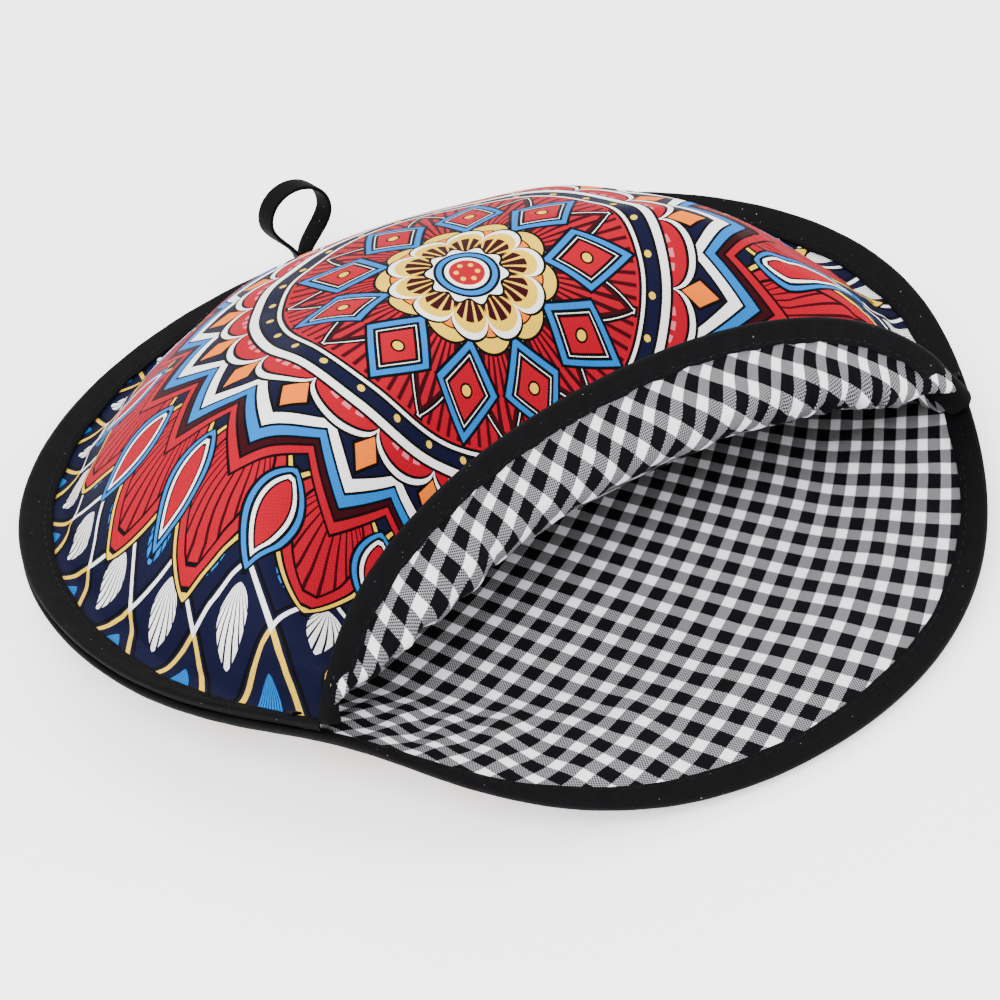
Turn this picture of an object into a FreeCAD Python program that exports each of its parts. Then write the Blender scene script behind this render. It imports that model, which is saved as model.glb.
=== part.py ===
import FreeCAD, Part
import Sketcher
import math
import os

# Round insulated cloth warmer, about 305 mm across: a padded bottom panel and a padded top panel, sewn
# together round the back. At the front the edge of the top panel is free: it stands up as the arched mouth,
# like a turned-up collar with a valley behind it, from which the panel climbs to its crest.
# Frame: +Z up, the mouth faces -Y, +X to the right; the origin is the centre of the face that it rests on.
# Angles round the rim are counted from the front (-Y), positive towards +X.
# The mouth's edge turns about the line through its two corners, and the folded cloth behind it bends.

DOCUMENT_NAME = "cloth_warmer"
PARTS_FOLDER = "parts"

# ---------------------------------------------------------------------------- driving sizes (mm, degrees)
SIZES = (
    # name, value, what it is
    ("rim_radius", 152.5, "outer edge of the bound rim"),
    ("rest_radius", 92.0, "flat middle that lies on the table"),
    ("rise_power", 1.8, "how late the edge of the bottom panel turns up"),
    ("front_lift", 3.3, "underside of the rim above the table at the front lip"),
    ("back_lift", 2.8, "the same at the back"),
    ("left_lift", 26.0, "the same where the left side is drawn up most"),
    ("right_lift", 22.0, "the same on the right side"),
    ("left_lift_angle", 60.0, "angle round the rim from the front to the left side's highest place"),
    ("right_lift_angle", 80.0, "the same on the right side"),
    ("lift_power", 3.0, "how late the rim starts to rise from the front lip to its sides"),
    ("corner_angle", 58.0, "angle round the rim from the front to each corner of the mouth"),
    ("cloth_thickness", 0.6, "printed outer cloth"),
    ("batting_thickness", 3.4, "insulating batting"),
    ("lining_thickness", 0.5, "checked lining"),
    ("squeezed_batting", 0.9, "batting in the seam, where the stitches squeeze it"),
    ("squeeze_start", 118.0, "radius from which the bottom panel gets thinner"),
    ("tape_thickness", 0.9, "bias tape of the bindings, folded double"),
    ("tape_gap", 0.12, "air between a tape and the flat panel in it"),
    ("hood_tape_gap", 0.25, "air between a tape and the curved panel in it"),
    ("binding_width", 9.5, "width of each binding seen from above"),
    ("flange_width", 11.0, "flat sewn edge of the top panel"),
    ("binding_stack_gap", 0.05, "air between the two bindings, one on the other"),
    ("ridge_at_front", 86.5, "height that the top panel's ridge aims for towards the front"),
    ("ridge_at_middle", 79.0, "top of the top panel over the centre of the rim"),
    ("ridge_at_back", 55.0, "height that the ridge aims for near the back"),
    ("ridge_front_place", 0.45, "where ridge_at_front lies, forward, as a share of the radius"),
    ("ridge_back_place", 0.7, "where ridge_at_back lies, backward, as a share of the radius"),
    ("puff_fullness", 4.4, "how square-shouldered the top panel is"),
    ("puff_softness", 1.35, "how softly the top panel leaves its sewn edge"),
    ("mouth_height", 77.0, "middle of the mouth's edge above the table"),
    ("mouth_set_back", 49.0, "middle of the mouth's edge in front of the rim's centre"),
    ("mouth_round", 64.8, "half the angle over which the mouth's edge is spread from side to side"),
    ("mouth_arch_power", 2.3, "how square the arch of the mouth is"),
    ("mouth_bow_power", 2.0, "how the mouth's edge comes forward from its middle to its corners"),
    ("mouth_share", 0.82, "share of the mouth's edge that stands free of the seam at the corners"),
    ("binding_share", 0.6, "the most of the front band's height that its binding takes near the corners"),
    ("collar_height", 25.0, "turned-up front band, from the mouth's edge down to its fold"),
    ("collar_power", 3.5, "how late the front band gets lower towards the corners"),
    ("collar_lean_forward", 0.26, "how far the fold lies before the edge, per unit of height"),
    ("collar_lean_inward", 0.25, "how far it lies inward at the corners"),
    ("valley_height", 27.0, "top of the cloth in the valley behind the front band"),
    ("valley_set_back", 26.0, "bottom of the valley behind the fold"),
    ("fold_back_share", 0.42, "share of the way to the valley that the cloth is back at the fold's belly"),
    ("fold_drop_share", 0.62, "share of that fall that it is down there"),
    ("valley_slope", 55.0, "length over which the cloth climbs from the valley to its full height"),
    ("slope_share", 0.6, "the most of the way to the seam that this climb takes"),
    ("left_pinch", 0.06, "how far the left corner of the mouth is drawn in, as a share of the radius"),
    ("left_pinch_angle", 57.0, "where it is drawn in most"),
    ("left_pinch_width", 17.0, "how far round the rim that reaches"),
    ("right_pinch", 0.05, "the same on the right side"),
    ("right_pinch_angle", 62.0, "where it is drawn in most"),
    ("right_pinch_width", 26.0, "how far round the rim that reaches"),
    ("left_bulge", 0.03, "how far the left side is pushed out, as a share of the radius"),
    ("left_bulge_angle", 110.0, "where it is pushed out most"),
    ("left_bulge_width", 32.0, "how far round the rim that reaches"),
    ("stitch_pitch", 4.0, "from stitch to stitch"),
    ("stitch_length", 2.6, "visible length of a stitch"),
    ("stitch_width", 0.5, "width of the thread"),
    ("stitch_height", 0.3, "height of a stitch over its tape"),
    ("stitch_inset", 7.4, "from a binding's outer edge to its row of stitches"),
    ("stitch_seat", 0.15, "air under a stitch"),
    ("seam_margin", 10.0, "from the end of a binding to its first stitch"),
    ("loop_place", 173.0, "angle round the rim at which the hanging loop is sewn on"),
    ("loop_rise", 31.0, "hanging loop, height"),
    ("loop_radius", 11.3, "hanging loop, middle of the tape in its round top"),
    ("loop_tape_width", 7.0, "hanging loop, width of the tape"),
    ("loop_tape_thickness", 1.4, "hanging loop, thickness of the folded tape"),
    ("loop_end_spread", 0.9, "half the distance between the tape's two ends"),
    ("loop_clearance", 0.3, "air between the loop and the binding that it is sewn to"),
    ("tack_length", 7.0, "bar tack, length"),
    ("tack_width", 2.0, "bar tack, width"),
    ("tack_height", 0.8, "bar tack, height"),
    ("tack_seat", 0.2, "air under a bar tack"),
)

doc = FreeCAD.newDocument(DOCUMENT_NAME)
sheet = doc.addObject("Spreadsheet::Sheet", "Sizes")
for row, (alias, value, note) in enumerate(SIZES, start=1):
    sheet.set(f"A{row}", note)
    sheet.set(f"B{row}", str(value))
    sheet.setAlias(f"B{row}", alias)
doc.recompute()


def size(alias):
    """The value of one cell of the sheet."""
    return float(sheet.get(alias))


RIM = size("rim_radius")
CLOTH = size("cloth_thickness")
BATTING = size("batting_thickness")
LINING = size("lining_thickness")
TAPE = size("tape_thickness")
TAPE_GAP = size("tape_gap")
HOOD_GAP = size("hood_tape_gap")
STACK_GAP = size("binding_stack_gap")

PANEL = CLOTH + BATTING + LINING
SQUEEZED = size("squeezed_batting")
SQUEEZED_PANEL = CLOTH + SQUEEZED + LINING
# Heights of the layers of the bound rim over the underside of the bottom panel.
BOTTOM_BINDING_TOP = SQUEEZED_PANEL + TAPE_GAP + TAPE
RIM_BINDING_FOOT = BOTTOM_BINDING_TOP + STACK_GAP
FLANGE_LINING_FOOT = RIM_BINDING_FOOT + TAPE + HOOD_GAP
FLANGE_BATTING_FOOT = FLANGE_LINING_FOOT + LINING
FLANGE_CLOTH_FOOT = FLANGE_BATTING_FOOT + SQUEEZED
FLANGE_TOP = FLANGE_CLOTH_FOOT + CLOTH
RIM_BINDING_TOP = FLANGE_TOP + HOOD_GAP + TAPE

PANEL_RADIUS = RIM - TAPE - TAPE_GAP
HOOD_RADIUS = RIM - TAPE - HOOD_GAP
DOME_RADIUS = RIM - size("flange_width")
BINDING_EDGE = RIM - size("binding_width")
SQUEEZE_START = size("squeeze_start")
# Radii at which the bottom panel's form is drawn, from the flat middle to the rim.
RINGS = (size("rest_radius"), (size("rest_radius") + SQUEEZE_START) / 2, SQUEEZE_START, BINDING_EDGE, RIM)

nodes = []


def node(feature, name):
    """Names a document object as a sub-part that is written out."""
    feature.Label = name
    nodes.append(feature)
    return feature


# ---------------------------------------------------------------------------- forms of the two panels
def rim_lift(angle):
    """Underside of the bottom panel's edge above the table, at an angle round the rim."""
    side = "left" if angle < 0 else "right"
    peak = size(f"{side}_lift")
    peak_angle = size(f"{side}_lift_angle")
    turn = abs(angle)
    if turn < peak_angle:
        share = math.sin(math.pi / 2 * turn / peak_angle) ** size("lift_power")
        return size("front_lift") + (peak - size("front_lift")) * share
    share = math.cos(math.pi / 2 * (turn - peak_angle) / (180.0 - peak_angle)) ** 2
    return size("back_lift") + (peak - size("back_lift")) * share


def rise_at(radius):
    """How much of the rim's lift the bottom panel has at a radius: straight from ring to ring."""
    for inner, outer in zip(RINGS, RINGS[1:]):
        if radius <= outer or outer == RINGS[-1]:
            ends = [((r - RINGS[0]) / (RIM - RINGS[0])) ** size("rise_power") for r in (inner, outer)]
            return ends[0] + (ends[1] - ends[0]) * (radius - inner) / (outer - inner)


def underside(x, y):
    """Underside of the bottom panel: flat in the middle, turned up all round, most beside the mouth."""
    radius = math.hypot(x, y)
    if radius <= RINGS[0]:
        return 0.0
    return rim_lift(math.degrees(math.atan2(x, -y))) * rise_at(radius)


def batting_here(radius):
    """Batting of the bottom panel: full in the middle, squeezed towards the seam."""
    share = (radius - SQUEEZE_START) / (BINDING_EDGE - SQUEEZE_START)
    return BATTING + (SQUEEZED - BATTING) * min(max(share, 0.0), 1.0)


def batting_top(radius):
    """Upper face of that batting over the panel's underside."""
    return CLOTH + batting_here(radius)


def ridge(y):
    """Height of the top panel along its middle: a parabola through three heights, front, middle and back."""
    front = size("ridge_front_place")
    back = size("ridge_back_place")
    middle = size("ridge_at_middle")
    fall_front = size("ridge_at_front") - middle
    fall_back = size("ridge_at_back") - middle
    bend = (fall_front / front + fall_back / back) / (front + back)
    slope = fall_back / back - bend * back
    place = y / RIM
    return middle + slope * place + bend * place * place


def puff(x, y):
    """1 in the middle of the top panel and 0 on its sewn edge."""
    share = math.hypot(x, y) / DOME_RADIUS
    return max(1.0 - share ** size("puff_fullness"), 0.0) ** size("puff_softness")


def hood(x, y):
    """Height of the top panel behind its valley."""
    full = puff(x, y)
    return (underside(x, y) + FLANGE_TOP) * (1.0 - full) + ridge(y) * full


PINCHES = [
    (-size("left_pinch"), -size("left_pinch_angle"), size("left_pinch_width")),
    (-size("right_pinch"), size("right_pinch_angle"), size("right_pinch_width")),
    (size("left_bulge"), -size("left_bulge_angle"), size("left_bulge_width")),
]


def laid(x, y, z):
    """A point of the round pouch as it lies: drawn in at the mouth's corners, pushed out on the left."""
    share = max((math.hypot(x, y) - RINGS[0]) / (RIM - RINGS[0]), 0.0)
    angle = math.degrees(math.atan2(x, -y))
    scale = 1.0
    for change, place, width in PINCHES:
        scale += share * change * math.exp(-(((angle - place) / width) ** 2))
    return FreeCAD.Vector(x * scale, y * scale, z)


# The cloth is drawn as flat patches between neighbouring points of curves that run round the panel.
RING_POINTS = 36
RING_ANGLES = [360.0 * i / RING_POINTS for i in range(RING_POINTS)]
# The top panel has the ring's points too, from one corner of the mouth round the back to the other.
CORNER = size("corner_angle")
HOOD_ANGLES = [angle for angle in RING_ANGLES if CORNER <= angle <= 360.0 - CORNER]
# Shares of the way from the valley to the foot of the dome at which the top panel's form is drawn.
DOME_SHARES = (0.12, 0.25, 0.38, 0.5, 0.62, 0.74, 0.85, 0.93, 1.0)
SAME_PLANE = 1e-6


def on_circle(radius, angle):
    """A place seen from above, at an angle round the rim."""
    turn = math.radians(angle)
    return radius * math.sin(turn), -radius * math.cos(turn)


def arc(radius, height, angles):
    """A row of points round the panel, height over its underside."""
    points = []
    for angle in angles:
        x, y = on_circle(radius, angle)
        points.append(laid(x, y, underside(x, y) + height))
    return points


def ring(radius, height):
    """A closed row of points round the panel."""
    points = arc(radius, height, RING_ANGLES)
    return points + points[:1]


def band(radius, height):
    """A row of points round the back of the panel, from one corner of the mouth to the other."""
    return arc(radius, height, HOOD_ANGLES)


def outline_face(points):
    """The flat face inside a row of points."""
    return Part.Face(Part.makePolygon(points + points[:1]))


def patches(rows):
    """Outlines of the flat patches between neighbouring rows: four corners where they are flat, else three.

    A patch that isn't flat is split from the first row's corner to the next row's far corner. Rows are
    given from the middle outwards, so that faces that lie on each other are split alike.
    """
    outlines = []
    for one, other in zip(rows, rows[1:]):
        for i in range(len(one) - 1):
            first, second, third, fourth = one[i], one[i + 1], other[i + 1], other[i]
            across = (second - first).cross(third - first)
            if abs(across.dot(fourth - first)) < SAME_PLANE:
                outlines.append([first, second, third, fourth])
            else:
                outlines.append([first, second, third])
                outlines.append([first, third, fourth])
    return outlines


def faces_between(*rows):
    """The faces of those patches."""
    return [outline_face(outline) for outline in patches(rows)]


def closed_solid(faces):
    """The solid inside a closed set of faces."""
    shell = Part.makeShell(faces)
    shell.sewShape()
    solid = Part.makeSolid(shell)
    if solid.Volume < 0:
        solid.reverse()
    return solid


def disc_layer(low, high):
    """A round layer of the bottom panel between two heights, each a function of the radius."""
    radii = RINGS[:-1] + (PANEL_RADIUS,)
    lower = [ring(radius, low(radius)) for radius in radii]
    upper = [ring(radius, high(radius)) for radius in radii]
    discs = [outline_face(rows[0][:-1]) for rows in (lower, upper)]
    wall = faces_between(lower[-1], upper[-1])
    return closed_solid(discs + faces_between(*lower) + faces_between(*upper) + wall)


def folded_tape(foot, top, gap, row_at, open_ended):
    """Tape folded round the rim, open towards the middle; foot and top are the edge that it holds."""
    low, high = foot - gap, top + gap
    outside = [(row_at(BINDING_EDGE, height), row_at(RIM, height)) for height in (low - TAPE, high + TAPE)]
    inside = [(row_at(BINDING_EDGE, height), row_at(RIM - TAPE, height)) for height in (low, high)]
    return tape_solid(outside, inside, open_ended)


def tape_solid(outside, inside, open_ended):
    """Folded tape between outside and inside rows; each side has a row at its edge and one at its fold."""
    faces = []
    for edge, fold in outside + inside:
        faces += faces_between(edge, fold)
    for under, over in (outside, inside):
        faces += faces_between(under[1], over[1])
    for outer_side, inner_side in zip(outside, inside):
        faces += faces_between(outer_side[0], inner_side[0])
    if open_ended:
        for end in (0, -1):
            for outer_side, inner_side in zip(outside, inside):
                faces += faces_between([row[end] for row in outer_side], [row[end] for row in inner_side])
            faces += faces_between([side[1][end] for side in outside], [side[1][end] for side in inside])
    return closed_solid(faces)


# ---------------------------------------------------------------------------- form of the top panel
CORNER_X, CORNER_Y = on_circle(RIM, CORNER)
CORNER_HEIGHTS = [rim_lift(side * CORNER) + FLANGE_TOP for side in (-1, 1)]


def mouth_edge(share):
    """A point of the mouth's edge, from the left corner at -1 to the right one at 1, before it is laid."""
    half = math.radians(size("mouth_round"))
    left, right = CORNER_HEIGHTS
    corner = left + (right - left) * (share + 1.0) / 2
    x = CORNER_X * math.sin(share * half) / math.sin(half)
    y = -size("mouth_set_back") + (CORNER_Y + size("mouth_set_back")) * abs(share) ** size("mouth_bow_power")
    z = corner + (size("mouth_height") - corner) * (1.0 - abs(share) ** size("mouth_arch_power"))
    return FreeCAD.Vector(x, y, z)


def front_band(share):
    """Four points down the front band and its fold, from the mouth's edge to the bottom of the valley."""
    edge = mouth_edge(share)
    full = 1.0 - abs(share) ** size("collar_power")
    inward = -size("collar_lean_inward") * share
    down = FreeCAD.Vector(inward, -size("collar_lean_forward"), -1.0).normalize()
    fold = edge + down * (size("collar_height") * full)
    back = size("valley_set_back") * full
    fall = (fold.z - size("valley_height")) * full
    belly = fold + FreeCAD.Vector(0, back * size("fold_back_share"), -fall * size("fold_drop_share"))
    return [edge, fold, belly, fold + FreeCAD.Vector(0, back, -fall)]


def climb(run, way):
    """How far the cloth has climbed out of the valley, from 0 to 1, after a run of the way to the seam."""
    share = min(run / min(size("valley_slope"), size("slope_share") * way), 1.0)
    return share * share * (3.0 - 2.0 * share)


def top_column(angle):
    """The outer face of the top panel from the mouth's edge over the dome to the seam at an angle."""
    edge, fold, belly, valley = front_band(size("mouth_share") * (180.0 - angle) / (180.0 - HOOD_ANGLES[0]))
    column = [laid(*point) for point in (edge, fold, belly, valley)]
    length = column[1].distanceToPoint(column[0])
    bound = min(size("binding_width") / length, size("binding_share"))
    column.insert(1, column[0] + (column[1] - column[0]) * bound)
    foot_x, foot_y = on_circle(DOME_RADIUS, angle)
    way = math.hypot(foot_x - valley.x, foot_y - valley.y)
    for share in DOME_SHARES:
        x = valley.x + (foot_x - valley.x) * share
        y = valley.y + (foot_y - valley.y) * share
        column.append(laid(x, y, valley.z + (hood(x, y) - valley.z) * climb(share * way, way)))
    return column


# Rows of the top panel from the mouth's edge to the foot of the dome; each row runs from corner to corner.
TOP_ROWS = [list(row) for row in zip(*(top_column(angle) for angle in HOOD_ANGLES))]
TAPE_ROW = 1
FOLD_ROW = 2
VALLEY_ROW = 4


def outward(row, column):
    """The direction out of the top panel's outer face at one of its points."""
    line = TOP_ROWS[row]
    along = line[min(column + 1, len(line) - 1)] - line[max(column - 1, 0)]
    across = TOP_ROWS[min(row + 1, len(TOP_ROWS) - 1)][column] - TOP_ROWS[max(row - 1, 0)][column]
    return across.cross(along).normalize()


OUTWARD = [[outward(row, column) for column in range(len(HOOD_ANGLES))] for row in range(len(TOP_ROWS))]


def under_top(row, depth):
    """A row of the top panel, depth under its outer face; the foot of the dome is measured straight down."""
    if row == len(TOP_ROWS) - 1:
        return [point - FreeCAD.Vector(0, 0, depth) for point in TOP_ROWS[row]]
    return [point - out * depth for point, out in zip(TOP_ROWS[row], OUTWARD[row])]


# Faces of the top panel's layers by their depth under its outer face, for a thickness of the batting.
CLOTH_TOP, BATTING_TOP, LINING_TOP, LINING_FOOT = range(4)


def depth_of(face, batting):
    """Depth of one of those faces."""
    return (0.0, CLOTH, CLOTH + batting, CLOTH + batting + LINING)[face]


def top_face(face):
    """Rows of one face, from the mouth's edge out to the sewn edge."""
    rows = []
    for row in range(len(TOP_ROWS)):
        in_a_seam = row <= TAPE_ROW or row == len(TOP_ROWS) - 1
        rows.append(under_top(row, depth_of(face, SQUEEZED if in_a_seam else BATTING)))
    height = FLANGE_TOP - depth_of(face, SQUEEZED)
    return rows + [band(radius, height) for radius in (BINDING_EDGE, HOOD_RADIUS)]


def top_layer(upper_face, lower_face, first, last):
    """A stretch of a layer of the top panel between two of its rows."""
    upper, lower = [top_face(face)[first:last] for face in (upper_face, lower_face)]
    faces = faces_between(*lower) + faces_between(*upper)
    for end in (0, -1):
        faces += faces_between(lower[end], upper[end])
        faces += faces_between([row[end] for row in lower], [row[end] for row in upper])
    return closed_solid(faces)


def mouth_tape_sides(gap):
    """Rows of the mouth's tape at a gap from the cloth: for each side, at its edge and at its fold."""
    upward = [(edge - tape).normalize() for edge, tape in zip(TOP_ROWS[0], TOP_ROWS[TAPE_ROW])]
    sides = []
    for depth in (depth_of(LINING_FOOT, SQUEEZED) + gap, -gap):
        fold = [point + up * gap for point, up in zip(under_top(0, depth), upward)]
        sides.append((under_top(TAPE_ROW, depth), fold))
    return sides


def blank(name, shape):
    """A form made by code."""
    feature = doc.addObject("Part::Feature", name)
    feature.Shape = shape
    feature.Placement = FreeCAD.Placement()
    return feature


# ---------------------------------------------------------------------------- bottom panel
def make_bottom_panel():
    """Printed cloth below, batting, and the checked lining on which the tortillas lie."""
    node(blank("bottom_cloth", disc_layer(lambda radius: 0.0, lambda radius: CLOTH)), "bottom_shell")
    node(blank("bottom_pad", disc_layer(lambda radius: CLOTH, batting_top)), "bottom_batting")
    checked = disc_layer(batting_top, lambda radius: batting_top(radius) + LINING)
    node(blank("bottom_checked_cloth", checked), "bottom_lining")


def make_bottom_binding():
    """Bias tape folded round the whole edge of the bottom panel."""
    node(blank("bottom_tape", folded_tape(0.0, SQUEEZED_PANEL, TAPE_GAP, ring, False)), "bottom_binding")


# ---------------------------------------------------------------------------- top panel
def make_top_layer(layer, upper_face, lower_face):
    """One layer of the top panel in its three stretches: front band, bending fold and dome."""
    stretches = (
        ("flap", 0, FOLD_ROW + 1),
        ("bend", FOLD_ROW, VALLEY_ROW + 1),
        ("dome", VALLEY_ROW, None),
    )
    for stretch, first, last in stretches:
        solid = top_layer(upper_face, lower_face, first, last)
        node(blank(f"{stretch}_{layer}_sheet", solid), f"{stretch}_{layer}")


def make_top_panel():
    """Printed cloth outside, batting, and the checked lining inside."""
    make_top_layer("shell", CLOTH_TOP, BATTING_TOP)
    make_top_layer("batting", BATTING_TOP, LINING_TOP)
    make_top_layer("lining", LINING_TOP, LINING_FOOT)


def make_rim_binding():
    """Bias tape round the sewn edge of the top panel, from corner to corner round the back."""
    tape = folded_tape(FLANGE_LINING_FOOT, FLANGE_TOP, HOOD_GAP, band, True)
    node(blank("rim_tape", tape), "rim_binding")


def make_mouth_binding():
    """Bias tape folded over the arched edge of the mouth."""
    outside = mouth_tape_sides(TAPE_GAP + TAPE)
    inside = mouth_tape_sides(TAPE_GAP)
    node(blank("mouth_tape", tape_solid(outside, inside, True)), "mouth_binding")


# ---------------------------------------------------------------------------- seams
def stitch(place, along, normal):
    """One stitch lying on its tape."""
    length = size("stitch_length")
    width = size("stitch_width")
    body = Part.makeBox(length, width, size("stitch_height"), FreeCAD.Vector(-length / 2, -width / 2, 0))
    turn = FreeCAD.Rotation(along, normal.cross(along), normal, "ZXY")
    body.Placement = FreeCAD.Placement(place + normal * size("stitch_seat"), turn)
    return body


def on_strip(edge, fold, place, ahead, share):
    """A point between two rows of a tape, the normal there and the direction along it.

    It lies ahead, from 0 to 1, on the patch that starts at a place in the rows, and at a share of the way
    from the tape's edge to its fold.
    """
    first, second, third, fourth = edge[place], edge[place + 1], fold[place + 1], fold[place]
    if ahead > share:
        along, across = second - first, third - second
    else:
        along, across = third - fourth, fourth - first
    return first + along * ahead + across * share, across.cross(along).normalize(), along.normalize()


def seam(name, edge, fold, margin):
    """A row of stitches on the face of a tape between its edge and its fold, up to a margin at both ends."""
    share = 1.0 - size("stitch_inset") / size("binding_width")
    line = [a + (b - a) * share for a, b in zip(edge, fold)]
    lengths = [0.0]
    for a, b in zip(line, line[1:]):
        lengths.append(lengths[-1] + b.distanceToPoint(a))
    run = lengths[-1] - 2 * margin
    count = int(run / size("stitch_pitch"))
    stitches = []
    for i in range(count):
        target = margin + run * (i + 0.5) / count
        place = max(k for k in range(len(line) - 1) if lengths[k] <= target)
        ahead = (target - lengths[place]) / (lengths[place + 1] - lengths[place])
        middle, normal, along = on_strip(edge, fold, place, ahead, share)
        stitches.append(stitch(middle, along, normal))
    node(blank(f"{name}_row", Part.makeCompound(stitches)), name)


def make_seams():
    """The rows of stitches that can be seen on the three bindings."""
    lip_margin = 6.0
    lip_end = CORNER - lip_margin
    left_half = [angle - 360.0 for angle in RING_ANGLES if angle >= 360.0 - lip_end]
    lip_angles = left_half + [angle for angle in RING_ANGLES if angle <= lip_end]
    lip = [arc(radius, BOTTOM_BINDING_TOP, lip_angles) for radius in (BINDING_EDGE, RIM)]
    seam("bottom_binding_stitching", *lip, 0.0)
    back = [band(radius, RIM_BINDING_TOP) for radius in (BINDING_EDGE, RIM)]
    seam("rim_binding_stitching", *back, size("seam_margin"))
    seam("mouth_binding_stitching", *mouth_tape_sides(TAPE_GAP + TAPE)[0], size("seam_margin"))


# ---------------------------------------------------------------------------- bar tacks and hanging loop
def origin_plane(body, role):
    """One of a body's own origin planes."""
    for plane in body.Origin.OriginFeatures:
        if plane.Role == role:
            return plane
    raise ValueError(role)


def attach(sketch, body, role):
    """Lays a sketch on a plane of its own body."""
    sketch.AttachmentSupport = [(origin_plane(body, role), "")]
    sketch.MapMode = "FlatFace"


def centred_rectangle(sketch, length, width, length_cell, width_cell):
    """A rectangle round the sketch's origin whose sides are bound to two cells."""
    corners = [(-1, -1), (1, -1), (1, 1), (-1, 1)]
    points = [FreeCAD.Vector(sx * length / 2, sy * width / 2, 0) for sx, sy in corners]
    for i in range(4):
        sketch.addGeometry(Part.LineSegment(points[i], points[(i + 1) % 4]), False)
    for i in range(4):
        sketch.addConstraint(Sketcher.Constraint("Coincident", i, 2, (i + 1) % 4, 1))
    sketch.addConstraint(Sketcher.Constraint("Horizontal", 0))
    sketch.addConstraint(Sketcher.Constraint("Horizontal", 2))
    sketch.addConstraint(Sketcher.Constraint("Vertical", 1))
    sketch.addConstraint(Sketcher.Constraint("Vertical", 3))
    sketch.addConstraint(Sketcher.Constraint("Symmetric", 0, 1, 2, 1, -1, 1))
    named = (("length", 0, length, length_cell, "DistanceX"), ("width", 1, width, width_cell, "DistanceY"))
    for label, edge, value, cell, kind in named:
        index = sketch.addConstraint(Sketcher.Constraint(kind, edge, 1, edge, 2, value))
        sketch.renameConstraint(index, label)
        sketch.setExpression(f"Constraints.{label}", f"Sizes.{cell}")


def make_tack(name, place, turn):
    """A short bar of close stitches: a padded block with rounded upper edges."""
    body = doc.addObject("PartDesign::Body", f"{name}_body")
    outline = body.newObject("Sketcher::SketchObject", f"{name}_outline")
    attach(outline, body, "XY_Plane")
    centred_rectangle(outline, size("tack_length"), size("tack_width"), "tack_length", "tack_width")
    pad = body.newObject("PartDesign::Pad", f"{name}_pad")
    pad.Profile = outline
    pad.setExpression("Length", "Sizes.tack_height")
    doc.recompute()
    half_height = size("tack_height") / 2
    upper = [f"Edge{i + 1}" for i, edge in enumerate(pad.Shape.Edges) if edge.BoundBox.ZMin > half_height]
    rounding = body.newObject("PartDesign::Fillet", f"{name}_rounding")
    rounding.Base = (pad, upper)
    rounding.setExpression("Radius", "Sizes.tack_height / 2")
    body.Tip = rounding
    body.Placement = FreeCAD.Placement(place, turn)
    return node(body, name)


def make_corner_tacks():
    """The bar tacks that hold the ends of the mouth's edge to the rim, their length across its binding."""
    edge, fold = [band(radius, RIM_BINDING_TOP) for radius in (BINDING_EDGE, RIM)]
    behind_end = 0.25
    corners = (("right_corner_tack", 0, behind_end), ("left_corner_tack", len(edge) - 2, 1.0 - behind_end))
    for name, place, ahead in corners:
        middle, normal, along = on_strip(edge, fold, place, ahead, 0.5)
        turn = FreeCAD.Rotation(normal.cross(along), along.negative(), normal, "ZXY")
        make_tack(name, middle + normal * size("tack_seat"), turn)


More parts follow.
